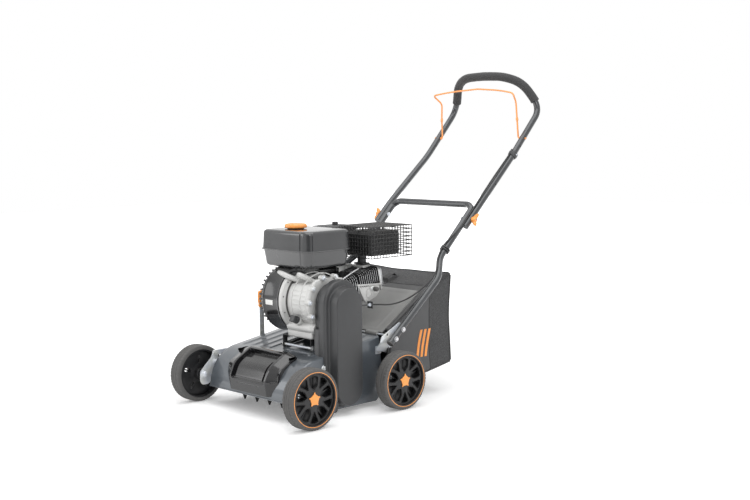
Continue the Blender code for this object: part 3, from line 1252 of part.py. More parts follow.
def holder(name, place, start, end, length):
    """A plastic clip round a handle tube."""
    direction = (world(*end) - world(*start)).normalized() * length / 2
    return rod(name, SATIN_BLACK, Vector(place) - direction, Vector(place) + direction,
               HOLDER_RADIUS, 16)


def cable_stop():
    """Strip behind the belt cover, with an upright tab that holds the cable's adjuster."""
    rear = CABLE_END[1] - 0.0055
    x, z = CABLE_END[0], CABLE_END[2]
    strip = box("cable_strip", SATIN_BLACK, (x - 0.013, x - 0.002), (COVER_BACK - 0.002, rear),
                (z - SHEET / 2, z + SHEET / 2))
    tab = box("cable_tab", SATIN_BLACK, (x - 0.013, x + 0.010), (rear - SHEET, rear),
              (z - 0.011, z + 0.011))
    fitting = rod("cable_fitting", ZINC, (x, rear - 0.012, z), (x, CABLE_END[1] - 3 * GAP, z),
                  0.005, 12)
    return strip, tab, fitting


def flap():
    """Rear flap on its hinge rod."""
    y, z = FLAP_HINGE
    reach = FLAP_HALF_WIDTH
    along = Vector((math.cos(FLAP_ANGLE), math.sin(FLAP_ANGLE)))
    up = Vector((-along.y, along.x))
    half = FLAP_THICKNESS / 2

    def point(s, t):
        return (y + along.x * s + up.x * t, z + along.y * s + up.y * t)

    outline = [point(0.006, -half), point(FLAP_LENGTH, -half), point(FLAP_LENGTH, half),
               point(0.006, half)]
    lid = plate("rear_flap", FLAP_GREY, "X", outline, (-reach, reach))
    barrel = 0.0065
    for i, x in enumerate((-0.15, 0.0, 0.15)):
        add(lid, rod_x(f"flap_barrel_{i}", FLAP_GREY, (x - 0.025, x + 0.025), y, z, barrel, 12))
    cut(lid, rod_x("flap_bore", FLAP_GREY, (-reach, reach), y, z, HINGE_ROD_RADIUS + GAP, 8))
    origin_to(lid, 0.0, y, z)
    inner = LOWER_X - TUBE_RADIUS - 2 * GAP - BRACKET_SHEET
    rod_x("flap_hinge_rod", ZINC, (-inner, inner), y, z, HINGE_ROD_RADIUS, 8)


def bag_outline(inset):
    """The bag seen from the side, with a slanting top under the flap."""
    drop = FLAP_THICKNESS / 2 + GAP + inset
    along = Vector((math.cos(FLAP_ANGLE), math.sin(FLAP_ANGLE)))
    up = Vector((-along.y, along.x))

    def under(station):
        base = Vector(FLAP_HINGE) - up * drop
        return (station, base.y + (station - base.x) * math.tan(FLAP_ANGLE))

    rear = 0.676 - inset
    return [(BAG_MOUTH, 0.080 + inset), (0.530, 0.072 + inset), (rear - 0.020, 0.096 + inset),
            (rear, 0.394 - inset * 1.5), under(0.560), under(BAG_MOUTH)]


def grass_bag():
    """Cloth bag open at its mouth, its steel frame and the strap on its lid."""
    half = BAG_HALF_WIDTH
    bag = plate("grass_bag", CLOTH, "X", bag_outline(0.0), (-half, half))
    hollow = bag_outline(BAG_CLOTH)
    hollow[0] = (BAG_MOUTH - CUT, hollow[0][1])
    hollow[-1] = (BAG_MOUTH - CUT, hollow[-1][1])
    cut(bag, plate("bag_hollow", CLOTH, "X", hollow, (BAG_CLOTH - half, half - BAG_CLOTH)))
    r = BAG_FRAME_RADIUS
    y = BAG_MOUTH - r - GAP
    x, low = half - BAG_CLOTH / 2, bag_outline(BAG_CLOTH / 2)[0][1]
    high = bag_outline(0.0)[-1][1] - r - 0.005
    frame = [(x, low), (-x, low), (-x, high), (x, high)]
    loop = [world(a, y, b) for a, b in rounded(frame, 0.012, 3)]
    tube("bag_frame", BLACK_PAINT, loop, r, 2, cyclic=True)
    top = bag_outline(0.0)
    a, b = Vector(top[3]), Vector(top[4])
    slope = (a - b).normalized()
    up = Vector((-slope.y, slope.x))
    span = a - b

    def on_lid(steps):
        return [tuple(b + span * s + up * t) for s, t in steps]

    strap = on_lid(((0.08, 0.0045), (0.12, 0.016), (0.44, 0.016), (0.48, 0.0045),
                    (0.54, 0.0045), (0.54, -0.001), (0.02, -0.001), (0.02, 0.0045)))
    window = on_lid(((0.14, 0.0035), (0.16, 0.012), (0.40, 0.012), (0.42, 0.0035)))
    add(bag, plate("bag_strap", CLOTH, "X", strap, (-0.013, 0.013), [window]))


def build():
    """Makes every sub-part."""
    deck_housing()
    front_hood()
    wheels_and_axles()
    height_lever()
    rotor()
    belt_drive()
    belt_cover()
    engine_bracket()
    crankcase()
    crank_train()
    blower()
    cylinder()
    exhaust()
    tank()
    intake()
    handles()
    handle_brackets()
    clamp_knobs()
    cable()
    flap()
    grass_bag()


build()
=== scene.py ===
# %% [markdown]
# # A petrol lawn scarifier
# This lesson dresses a jointed machine with finished shapes and surfaces. The frame
# gives every sub-part's place in metres, with +Z up and the machine's front towards -Y.
# Each new piece rides on one of the frame's bodies, so it follows the joints.

# %% Load the frame
from math import atan2, copysign, cos, degrees, exp, pi, radians, sin, sqrt, tan, tau

import bmesh
import bpy
from mathutils import Matrix, Vector


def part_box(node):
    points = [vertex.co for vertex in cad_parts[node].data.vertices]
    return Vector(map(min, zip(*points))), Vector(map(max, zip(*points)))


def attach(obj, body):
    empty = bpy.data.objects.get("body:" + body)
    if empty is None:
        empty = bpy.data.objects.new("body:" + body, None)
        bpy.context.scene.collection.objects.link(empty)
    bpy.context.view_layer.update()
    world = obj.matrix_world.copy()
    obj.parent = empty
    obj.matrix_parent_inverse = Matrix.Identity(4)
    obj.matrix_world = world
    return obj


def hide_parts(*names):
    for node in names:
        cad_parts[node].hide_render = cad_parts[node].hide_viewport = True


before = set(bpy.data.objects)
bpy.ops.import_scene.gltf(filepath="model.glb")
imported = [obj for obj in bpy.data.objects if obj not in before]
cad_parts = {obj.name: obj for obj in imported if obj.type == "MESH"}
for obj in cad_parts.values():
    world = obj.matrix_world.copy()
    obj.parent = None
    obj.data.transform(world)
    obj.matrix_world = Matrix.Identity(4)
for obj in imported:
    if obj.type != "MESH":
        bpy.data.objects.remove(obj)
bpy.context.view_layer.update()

# %% [markdown]
# Places are easiest to read as stations: distances behind the front axle. The axle's
# own place comes from the frame, as the middle of a front rim.

# %% Stations and places
low, high = (Vector(c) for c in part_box("rim_front_left"))
FRONT_Y = (low.y + high.y) / 2
WHEEL_Z = (low.z + high.z) / 2

def spot(x, station, height):
    return Vector((x, FRONT_Y + station, height))

def axes(x, y, z, place):
    """The matrix of a thing whose own three axes and place are given."""
    return Matrix.Translation(place) @ Matrix((x, y, z)).transposed().to_4x4()

print("front axle at y =", round(FRONT_Y, 4))

# %% [markdown]
# ## Camera
# The picture was taken from the front left, from a little above, with a short
# telephoto lens. Three angles and a place fix the camera.

# %% Camera at the picture's angle
yaw, pitch, roll = radians(46.24), radians(5.71), radians(-0.53)
ahead = Vector((-sin(yaw) * cos(pitch), cos(yaw) * cos(pitch), -sin(pitch)))
right = Vector((cos(yaw), sin(yaw), 0))
up = right.cross(ahead)
scene = bpy.context.scene
camera = bpy.data.objects.new("camera", bpy.data.cameras.new("camera"))
scene.collection.objects.link(camera)
camera.matrix_world = axes(right * cos(roll) + up * sin(roll), up * cos(roll) - right * sin(roll), -ahead,
                           spot(2.86622, -2.21904, 0.85754))
camera.data.lens = 58.057
camera.data.sensor_width = 36.0
scene.camera = camera
scene.view_settings.view_transform = "Standard"

# %% [markdown]
# ## Floor and light
# The floor is white card. Large soft lamps stand above, and the world fills the shadows.
# Only the camera and mirror rays see the world as pure white, so the light on the
# machine stays plain while the background is bright. The room is dark behind the camera,
# so rounded glossy corners that face it turn black, and the floor glows out to white.

# %% Small node helpers
def feed(tree, made, inputs):
    for key, value in inputs.items():
        if isinstance(value, bpy.types.NodeSocket):
            tree.links.new(value, made.inputs[key])
        else:
            made.inputs[key].default_value = value
    return made

def node(tree, kind, inputs={}, **settings):
    made = tree.nodes.new("ShaderNode" + kind)
    for key, value in settings.items():
        setattr(made, key, value)
    return feed(tree, made, inputs)

def maths(tree, operation, a, b):
    return node(tree, "Math", {0: a, 1: b}, operation=operation).outputs[0]

def times(tree, a, b):
    return maths(tree, "MULTIPLY", a, b)

def blend(tree, factor, a, b):
    return node(tree, "Mix", {0: factor, 6: a, 7: b}, data_type="RGBA").outputs[2]

def fit(tree, value, low, high, new_low=0.0, new_high=1.0):
    return node(tree, "MapRange", {0: value, 1: low, 2: high, 3: new_low, 4: new_high}).outputs[0]

def noise(tree, place, scale, detail, rough=0.5):
    return node(tree, "TexNoise", {"Vector": place, "Scale": scale, "Detail": detail,
                                   "Roughness": rough}).outputs["Fac"]

def bump(tree, strength, distance, height, before=None):
    relief = node(tree, "Bump", {"Strength": strength, "Distance": distance, "Height": height})
    return feed(tree, relief, {"Normal": before} if before else {}).outputs[0]

def coordinates(tree):
    return node(tree, "TexCoord").outputs["Object"]

# %% [markdown]
# The world's strength depends on the ray that asks for it: light rays see it dimmed, and
# mirror rays see it darker where they look back past the camera. The card glows more
# with its distance from the machine, so its far edge melts into the background.

# %% World and floor
WORLD_LIGHT, FLOOR_SIZE = 0.62, 9.0
world = bpy.data.worlds.new("soft_room")
scene.world = world
world.use_nodes = True
tree = world.node_tree
tree.nodes.clear()
rays = node(tree, "LightPath").outputs
glossy = rays["Is Glossy Ray"]
seen = maths(tree, "MAXIMUM", rays["Is Camera Ray"],
             maths(tree, "MAXIMUM", glossy, rays["Is Transmission Ray"]))
towards = node(tree, "VectorMath", {0: node(tree, "TexCoord").outputs["Generated"], 1: tuple(-ahead)},
               operation="DOT_PRODUCT").outputs["Value"]
shade = maths(tree, "SUBTRACT", 1.0, times(tree, fit(tree, towards, 0.72, 0.93, 0.0, 0.86), glossy))
strength = times(tree, fit(tree, seen, 0.0, 1.0, WORLD_LIGHT, 1.0), shade)
sky = node(tree, "Background", {"Color": (1, 1, 1, 1), "Strength": strength})
feed(tree, node(tree, "OutputWorld"), {0: sky.outputs[0]})

bm = bmesh.new()
bmesh.ops.create_grid(bm, x_segments=1, y_segments=1, size=FLOOR_SIZE)
mesh = bpy.data.meshes.new("floor")
bm.to_mesh(mesh)
bm.free()
floor = bpy.data.objects.new("floor", mesh)
floor.location = (0, 0, -0.0005)
scene.collection.objects.link(floor)
card = bpy.data.materials.new("white_card")
card.use_nodes = True
tree = card.node_tree
rays = node(tree, "LightPath").outputs
flat_place = node(tree, "VectorMath", {0: node(tree, "NewGeometry").outputs["Position"], 1: (1, 1, 0)},
                  operation="MULTIPLY")
reach = node(tree, "VectorMath", {0: flat_place.outputs[0]}, operation="LENGTH").outputs["Value"]
glow = times(tree, maths(tree, "MAXIMUM", rays["Is Camera Ray"], rays["Is Glossy Ray"]),
             fit(tree, reach, 0.75, 2.4, 0.22, 1.0))
feed(tree, tree.nodes["Principled BSDF"], {
    "Base Color": (0.93, 0.93, 0.93, 1), "Roughness": 0.7, "Specular IOR Level": 0.15,
    "Emission Color": (1, 1, 1, 1), "Emission Strength": glow})
mesh.materials.append(card)

# %% [markdown]
# A real studio would use soft boxes. Three rectangular lamps do their work here: one
# overhead and one at each side of the front, all aimed at the machine's middle.

# %% Lamps
for name, place, size, power in (("overhead", (0.3, -0.3, 3.4), (3.2, 3.2), 62),
                                 ("front_left", (3.2, -1.6, 2.2), (1.8, 2.2), 46),
                                 ("front_right", (-2.2, -3.0, 1.6), (1.6, 2.0), 24)):
    light = bpy.data.lights.new(name, "AREA")
    light.shape = "RECTANGLE"
    light.size, light.size_y = size
    light.energy = power
    lamp = bpy.data.objects.new(name, light)
    lamp.location = place
    lamp.rotation_euler = (Vector((0, 0, 0.4)) - Vector(place)).to_track_quat("-Z", "Y").to_euler()
    scene.collection.objects.link(lamp)

# %% [markdown]
# ## Surface effects
# Paint, plastic and metal are never one flat colour. Three effects are shared by most
# finishes, so each is a node group: grain with broad changes of tone, dust that settles
# on what faces up, and the fine scuffs of use.

# %% A helper that opens a node group
def open_group(name, numbers, outputs):
    """A new group with a place and some numbers as inputs; its outputs are fed later."""
    tree = bpy.data.node_groups.new(name, "ShaderNodeTree")
    tree.interface.new_socket("Place", in_out="INPUT", socket_type="NodeSocketVector")
    for label, value in numbers.items():
        tree.interface.new_socket(label, in_out="INPUT", socket_type="NodeSocketFloat").default_value = value
    for label in outputs:
        tree.interface.new_socket(label, in_out="OUTPUT", socket_type="NodeSocketFloat")
    return tree, tree.nodes.new("NodeGroupInput").outputs, tree.nodes.new("NodeGroupOutput")

# %% [markdown]
# Fine noise stands for the skin of a moulding or casting, and broad noise for the slow
# changes of tone that every large surface has.

# %% Grain and tone
grain_group, given, result = open_group("grain_and_tone", {"Grain Scale": 900.0, "Tone Scale": 9.0},
                                        ("Grain", "Tone"))
broad = noise(grain_group, given["Place"], given["Tone Scale"], 4.0, 0.55)
feed(grain_group, result, {"Grain": noise(grain_group, given["Place"], given["Grain Scale"], 3.0, 0.6),
                           "Tone": fit(grain_group, broad, 0.3, 0.7)})

# %% [markdown]
# Dust lies only where a surface faces up, and it lies in patches.

# %% Settled dust
dust_group, given, result = open_group("settled_dust", {"Amount": 0.1}, ("Mask",))
facing = node(dust_group, "SeparateXYZ", {0: node(dust_group, "NewGeometry").outputs["Normal"]})
level = fit(dust_group, facing.outputs[2], 0.35, 1.0)
patchy = fit(dust_group, noise(dust_group, given["Place"], 55.0, 6.0), 0.35, 0.75)
feed(dust_group, result, {"Mask": times(dust_group, times(dust_group, level, patchy), given["Amount"])})

# %% [markdown]
# Handling leaves thin bright scratches. Noise that is stretched along one direction
# makes them, and a second noise keeps them to a few places.

# %% Fine scuffs
scuff_group, given, result = open_group("fine_scuffs", {"Amount": 0.3}, ("Mask",))
stretched = node(scuff_group, "Mapping", {0: given["Place"], "Scale": (40.0, 900.0, 160.0),
                                          "Rotation": (0.4, 0.9, 0.3)}).outputs[0]
thin = fit(scuff_group, noise(scuff_group, stretched, 1.0, 2.0), 0.64, 0.72)
some = fit(scuff_group, noise(scuff_group, given["Place"], 14.0, 2.0), 0.48, 0.62)
feed(scuff_group, result, {"Mask": times(scuff_group, times(scuff_group, thin, some), given["Amount"])})
print("effects:", [g.name for g in bpy.data.node_groups])

# %% [markdown]
# ## Finishes
# A painted or moulded surface is a base colour that drifts a little, a roughness that
# drifts with it, and a fine bump. One function builds such a finish from its facts; a
# special finish then adds its own nodes to the tree.

# %% One function for moulded, painted and cast finishes
DUST = (0.42, 0.40, 0.36, 1)

def finish(name, slot, colour, rough, metal=0.0, grain=900.0, relief=0.08, depth=0.0002,
           tone=0.12, dust=0.06, scuffs=0.15, coat=0.0):
    mat = bpy.data.materials.new(name)
    mat.use_nodes = True
    mat["slot"] = slot
    tree = mat.node_tree
    place = coordinates(tree)
    surface = node(tree, "Group", {"Place": place, "Grain Scale": grain}, node_tree=grain_group).outputs
    settled = node(tree, "Group", {"Place": place, "Amount": dust}, node_tree=dust_group).outputs["Mask"]
    marks = node(tree, "Group", {"Place": place, "Amount": scuffs}, node_tree=scuff_group).outputs["Mask"]
    dark, light, scuffed = ((*[min(1, c * share + more) for c in colour], 1)
                            for share, more in ((1 - tone, 0), (1 + tone, 0), (1.6, 0.05)))
    worn = blend(tree, marks, blend(tree, surface["Tone"], dark, light), scuffed)
    gloss = fit(tree, surface["Tone"], 0, 1, max(0.03, rough - 0.05), rough + 0.05)
    feed(tree, tree.nodes["Principled BSDF"], {
        "Base Color": blend(tree, settled, worn, DUST), "Metallic": metal, "Coat Weight": coat,
        "Coat Roughness": 0.08, "Roughness": maths(tree, "ADD", gloss, times(tree, settled, 0.5)),
        "Normal": bump(tree, relief, depth, surface["Grain"])})
    return mat

# %% [markdown]
# The machine has few finishes, but each has its own grain: satin slate paint on the
# deck, glossy and satin moulded blacks, smooth tube enamel, orange trims, and several
# metals. Cast aluminium is sandy, zinc plate has a faint blue and yellow bloom.

# %% Plastics and paints
DECK_PAINT = finish("slate_deck_paint", "deck_paint", (0.088, 0.101, 0.116), 0.34, 0.25, 1400, tone=0.08,
                    dust=0.10, coat=0.80)
GLOSS_BLACK = finish("gloss_black_moulding", "gloss_black_plastic", (0.011, 0.011, 0.012), 0.17, grain=500,
                     relief=0.03, dust=0.05, coat=0.3)
SATIN_BLACK = finish("satin_black_moulding", "satin_black_plastic", (0.040, 0.041, 0.043), 0.44, grain=1600,
                     relief=0.25, dust=0.05)
WHEEL_BLACK = finish("wheel_black_moulding", "wheel_plastic", (0.011, 0.011, 0.012), 0.38, grain=1200,
                     relief=0.15)
ENAMEL = finish("tube_enamel", "handle_paint", (0.052, 0.055, 0.059), 0.20, 0.35, 260, 0.06, coat=0.4)
GUARD_BLACK = finish("guard_enamel", "black_paint", (0.014, 0.014, 0.014), 0.28, 0.1, 420, 0.06, coat=0.2)
HEAT_BLACK = finish("heat_paint_black", "heat_paint", (0.030, 0.030, 0.031), 0.50, 0.2, 1500, 0.4, tone=0.25)
ORANGE = finish("orange_moulding", "orange_plastic", (0.98, 0.370, 0.085), 0.33, grain=1100, relief=0.10,
                tone=0.05, dust=0.03, coat=0.1)
ORANGE_WIRE = finish("orange_wire_coating", "orange_wire", (0.98, 0.370, 0.105), 0.30, grain=600, tone=0.06,
                     dust=0.02, coat=0.2)
FLAP_GREY = finish("flap_moulding", "flap_plastic", (0.250, 0.250, 0.245), 0.34, grain=1300, relief=0.15,
                   dust=0.10)
CABLE_BLACK = finish("cable_sheath", "cable_sheath", (0.014, 0.014, 0.015), 0.35, relief=0.06)
LABEL_WHITE = finish("plain_label_film", "gloss_black_plastic", (0.82, 0.82, 0.80), 0.35, grain=700,
                     relief=0.04, tone=0.04, scuffs=0.1)
TANK_PAINT = finish("tank_paint", "gloss_black_plastic", (0.036, 0.037, 0.039), 0.15, grain=420, relief=0.02,
                    tone=0.06, dust=0.04, coat=0.6)
# Near black: painted shade for the inside of holes.
HOLE_SHADE = finish("painted_hole_shade", "black_paint", (0.002, 0.002, 0.002), 0.60, grain=700, relief=0.1)

# %% [markdown]
# The metals differ mostly in roughness and grain. Zinc also gets its faint bloom, mixed
# over the base colour that the common finish gave it.

# %% Metals
STEEL = finish("bright_steel", "bright_steel", (0.56, 0.56, 0.57), 0.28, 1.0, 800, 0.10, tone=0.14,
               scuffs=0.4)
CAST = finish("cast_aluminium", "cast_aluminium", (0.56, 0.56, 0.55), 0.50, 0.35, 1300, 0.55, 0.0003, 0.10,
              scuffs=0.25)
MACHINED = finish("machined_aluminium", "cast_aluminium", (0.60, 0.61, 0.62), 0.32, 0.9, 700, tone=0.06)
ZINC = finish("zinc_plate", "zinc_plate", (0.74, 0.77, 0.80), 0.30, 0.35, 700, tone=0.10)
tree = ZINC.node_tree
shift = fit(tree, noise(tree, coordinates(tree), 22.0, 3.0), 0.42, 0.62)
shader = tree.nodes["Principled BSDF"]
plated = shader.inputs["Base Color"].links[0].from_socket
warm = blend(tree, shift, (0.56, 0.60, 0.70, 1), (0.70, 0.66, 0.52, 1))
feed(tree, shader, {"Base Color": blend(tree, 0.35, plated, warm)})

# %% [markdown]
# Rubber is matt and dusty in its grooves. Foam is full of tiny cells, so its bump
# comes from a cell pattern and its edge catches a soft sheen.

# %% Rubber and foam
RUBBER = finish("tyre_rubber", "tyre_rubber", (0.088, 0.086, 0.084), 0.66, grain=700, relief=0.35, tone=0.15,
                dust=0.12)
BELT = finish("belt_rubber", "belt_rubber", (0.02, 0.02, 0.02), 0.7, relief=0.3)
FOAM = finish("foam_rubber", "foam_rubber", (0.040, 0.040, 0.041), 0.82, grain=1500, relief=0.5, tone=0.15,
              dust=0.05)
tree = FOAM.node_tree
cells = node(tree, "TexVoronoi", {"Vector": coordinates(tree), "Scale": 950.0}).outputs["Distance"]
feed(tree, tree.nodes["Principled BSDF"], {"Normal": bump(tree, 0.6, 0.0004, cells), "Sheen Weight": 0.12})

# %% [markdown]
# Every node of the frame gets its finish, also those that stay as they are: the rotor,
# the belt drive and the engine's inside.

# %% Finishes of the frame's nodes
FRAME_FINISHES = [
    (SATIN_BLACK, """air_cleaner belt_cover choke_lever engine_switch oil_plug recoil_cover recoil_grip
                     throttle_lever"""),
    (GLOSS_BLACK, "blower_housing front_hood"), (DECK_PAINT, "deck_housing"), (TANK_PAINT, "fuel_tank"),
    (WHEEL_BLACK, "idler_pulley rim_front_left rim_front_right rim_rear_left rim_rear_right"),
    (GUARD_BLACK, "bag_frame engine_bracket muffler_guard"), (HEAT_BLACK, "cylinder_block muffler"),
    (CABLE_BLACK, "clutch_cable_lower clutch_cable_upper grass_bag"), (ENAMEL, "lower_handle upper_handle"),
    (FLAP_GREY, "rear_flap"), (FOAM, "foam_grip"), (BELT, "drive_belt"), (ORANGE_WIRE, "bail_lever"),
    (ORANGE, "clamp_knob_left clamp_knob_right fuel_cap"), (STEEL, "blade_rotor crankshaft"),
    (RUBBER, "tyre_front_left tyre_front_right tyre_rear_left tyre_rear_right"),
    (CAST, """carburettor crankcase crankcase_cover cylinder_head flywheel rocker_cover
              rotor_bearing_left rotor_bearing_right tank_bracket"""),
    (ZINC, """depth_lever depth_link drive_pulley flap_hinge_rod front_axle handle_bracket_left
              handle_bracket_right rear_axle rotor_pulley spark_plug tensioner_arm""")]
for surface, names in FRAME_FINISHES:
    for name in names.split():
        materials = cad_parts[name].data.materials
        materials.clear()
        materials.append(surface)
print(len(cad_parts), "frame nodes finished with", len(bpy.data.materials), "materials at hand")

# %% [markdown]
# ## Building helpers
# New shapes are made with mesh operators in the machine's own coordinates, so every
# piece keeps its origin at the world's centre. One helper turns shapes into a piece: it
# merges doubled points, turns the normals outward and sets which edges are sharp.

# %% From shapes to a piece
def clean(bm):
    bmesh.ops.remove_doubles(bm, verts=bm.verts, dist=2e-6)
    bmesh.ops.recalc_face_normals(bm, faces=bm.faces)
    return bm

def join(whole, *parts):
    for part in parts:
        mesh = bpy.data.meshes.new("part")
        part.to_mesh(mesh)
        part.free()
        whole.from_mesh(mesh)
        bpy.data.meshes.remove(mesh)
    return whole

def piece(name, surface, *shapes, body="chassis", cad="", sharp=34):
    """Join shapes to one object that rides a body and may replace a CAD node."""
    bm = clean(join(*shapes))
    mesh = bpy.data.meshes.new(name)
    bm.to_mesh(mesh)
    bm.free()
    mesh.materials.append(surface)
    mesh.polygons.foreach_set("use_smooth", [True] * len(mesh.polygons))
    mesh.set_sharp_from_angle(angle=radians(sharp))
    made = bpy.data.objects.new(name, mesh)
    scene.collection.objects.link(made)
    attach(made, body)
    if cad:
        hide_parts(cad)
    print(f"{name}: {len(mesh.polygons)} faces")
    return made

# %% [markdown]
# Outlines are drawn flat, as (across, along) points. Arcs, rounded corners and an even
# offset are all that the machine's plates and castings need.

# %% Flat outlines
def polar(radius, turn, centre=(0, 0)):
    return (centre[0] + radius * cos(radians(turn)), centre[1] + radius * sin(radians(turn)))

def arc(centre, radius, start, end, count):
    return [polar(radius, start + (end - start) * i / (count - 1), centre) for i in range(count)]

def ring_of(centre, radius, count=32):
    return arc(centre, radius, 0, 360 * (count - 1) / count, count)

def rectangle(low_a, high_a, low_b, high_b):
    return [(low_a, low_b), (high_a, low_b), (high_a, high_b), (low_a, high_b)]

def corner(before, here, after, radius, steps, share=0.49):
    """A smooth curve across a corner, from `radius` before it to `radius` after it."""
    here = Vector(here)
    ways = [Vector(p) - here for p in (before, after)]
    cut = min(radius, *[way.length * share for way in ways])
    a, b = (here + way.normalized() * cut for way in ways)
    return [a * (1 - t) ** 2 + here * 2 * t * (1 - t) + b * t ** 2
            for t in (k / steps for k in range(steps + 1))]

def rounded(points, radius, steps=5):
    result = []
    for i, here in enumerate(points):
        result += corner(points[i - 1], here, points[(i + 1) % len(points)], radius, steps)
    return [tuple(p) for p in result]

def shrink(outline, amount):
    area = sum(a[0] * b[1] - b[0] * a[1] for a, b in zip(outline, outline[1:] + outline[:1]))
    loop = [Vector(p) for p in (outline if area > 0 else outline[::-1])]
    result = []
    for i, here in enumerate(loop):
        first, second = (here - loop[i - 1]).normalized(), (loop[(i + 1) % len(loop)] - here).normalized()
        n1, n2 = Vector((-first.y, first.x)), Vector((-second.y, second.x))
        result.append(tuple(here + (n1 + n2) / max(0.5, 1 + n1.dot(n2)) * amount))
    return result

# %% [markdown]
# Three basic forms: a bridge of faces between two rows of points, a skin over many rows
# for sheet metal and soft mouldings, and a block with eased edges.

# %% Skins and blocks
def bridge(bm, first, second, wrap=True):
    for i in range(0 if wrap else 1, len(first)):
        bm.faces.new((first[i - 1], first[i], second[i], second[i - 1]))

def skin(rows, wrap=False):
    bm = bmesh.new()
    made = [[bm.verts.new(p) for p in row] for row in rows]
    for first, second in zip(made, made[1:]):
        bridge(bm, first, second, wrap)
    return bm

def loft(rings):
    return skin([ring + ring[:1] for ring in rings])

def closed_skin(rings):
    """A skin round a row of rings, with both its ends filled."""
    bm = clean(loft(rings))
    bmesh.ops.holes_fill(bm, edges=[e for e in bm.edges if e.is_boundary], sides=0)
    return bm

def thicken(bm, thickness):
    clean(bm)
    bmesh.ops.solidify(bm, geom=bm.faces[:], thickness=thickness)
    return bm

def ease_edges(bm, radius, steps=2, limit=30):
    clean(bm)
    edges = [e for e in bm.edges if len(e.link_faces) == 2 and e.calc_face_angle(0.0) > radians(limit)]
    bmesh.ops.bevel(bm, geom=edges, offset=radius, offset_type="OFFSET", segments=steps, profile=0.5,
                    affect="EDGES", clamp_overlap=True, material=-1)
    return bm

def cube(size, matrix):
    bm = bmesh.new()
    bmesh.ops.create_cube(bm, size=1.0)
    bmesh.ops.scale(bm, vec=size, verts=bm.verts)
    bmesh.ops.transform(bm, matrix=matrix, verts=bm.verts)
    return bm

def block(low, high, radius=0.002, steps=3):
    low, high = spot(*low), spot(*high)
    return ease_edges(cube(high - low, Matrix.Translation((high + low) / 2)), radius, steps)

def soft_step(value, low, high):
    t = max(0.0, min(1.0, (value - low) / (high - low)))
    return t * t * (3 - 2 * t)

def bell(value, low, top, end, high):
    """Rises softly from low to top, stays 1 and falls again from end to high."""
    return soft_step(value, low, top) * (1 - soft_step(value, end, high))

def squarish(turn, power):
    """A circle's cosine and sine, pushed outward so that the round grows square."""
    return (copysign(abs(v) ** power, v) for v in (cos(turn), sin(turn)))

# %% [markdown]
# A slab is a flat outline given thickness, with its edges eased all round and round its
# holes, as a pressed or moulded plate has.

# %% Slabs
def slab(outline, low, high, edge=0.0008, holes=(), axis="X"):
    low, high = min(low, high), max(low, high)
    edge = min(edge, (high - low) / 2)
    bm = bmesh.new()
    ease = ((0.0, 1.0), (0.293, 0.293), (1.0, 0.0))
    levels = [(low + lift * edge, inset * edge) for lift, inset in ease]
    levels += [(high - lift * edge, inset * edge) for lift, inset in ease[::-1]]
    caps = [], []
    for number, loop in enumerate([outline, *holes]):
        made = []
        for level, inset in levels:
            ring = []
            for a, b in shrink(loop, -inset if number else inset):
                place = {"X": (level, a, b), "Y": (a, level, b), "Z": (a, b, level)}[axis]
                ring.append(bm.verts.new(spot(*place)))
            made.append(ring)
        for first, second in zip(made, made[1:]):
            bridge(bm, first, second)
        for edges, ring in zip(caps, (made[0], made[-1])):
            edges += [bm.edges.get((ring[i - 1], ring[i])) for i in range(len(ring))]
    for edges in caps:
        bmesh.ops.triangle_fill(bm, use_beauty=True, use_dissolve=False, edges=edges)
    return clean(bm)

# %% [markdown]
# Turned shapes spin a line of (along, radius) points round an axis. A solid's line runs
# from axis to axis, and a hoop's line is closed. Rods and bolts are turned solids.

# %% Turned shapes
def turned(line, centre, axis=(1, 0, 0), steps=64, closed=False):
    centre, axis = Vector(centre), Vector(axis).normalized()
    guide = Vector((0, 0, 1)) if abs(axis.z) < 0.9 else Vector((0, -1, 0))
    side = (guide - axis * guide.dot(axis)).normalized()
    bm = bmesh.new()
    verts = [bm.verts.new(centre + axis * along + side * radius) for along, radius in line]
    edges = [bm.edges.new(pair) for pair in zip(verts, verts[1:] + (verts[:1] if closed else []))]
    bmesh.ops.spin(bm, geom=verts + edges, cent=centre, axis=axis, angle=tau, steps=steps, use_merge=True)
    return clean(bm)

def solid(line, *place, **more):
    return turned([(line[0][0], 0), *line, (line[-1][0], 0)], *place, **more)

def hoop(line, *place, **more):
    return turned(line, *place, closed=True, **more)

def rod(a, b, radius, steps=24, ease=0.0006):
    """A round rod with eased ends between two places."""
    a, b = (p if isinstance(p, Vector) else spot(*p) for p in (a, b))
    length = (b - a).length
    line = [(0, radius - ease), (ease, radius), (length - ease, radius), (length, radius - ease)]
    return solid(line, a, b - a, steps)

def bolt(place, axis, radius, height, washer=1.5):
    """A six-sided head on its washer."""
    place = place if isinstance(place, Vector) else spot(*place)
    thick, wide = height * 0.22, radius * washer
    head = [(thick, radius), (height * 0.85, radius), (height, radius * 0.84)]
    return join(solid([(0, wide), (thick * 0.8, wide), (thick, wide * 0.96)], place, axis, 28),
                solid(head, place, axis, 6))

# %% [markdown]
# A pipe follows a path, with one radius or one for each point. A path is bent at its
# corners like a tube, or runs smoothly through all its points like a cable.

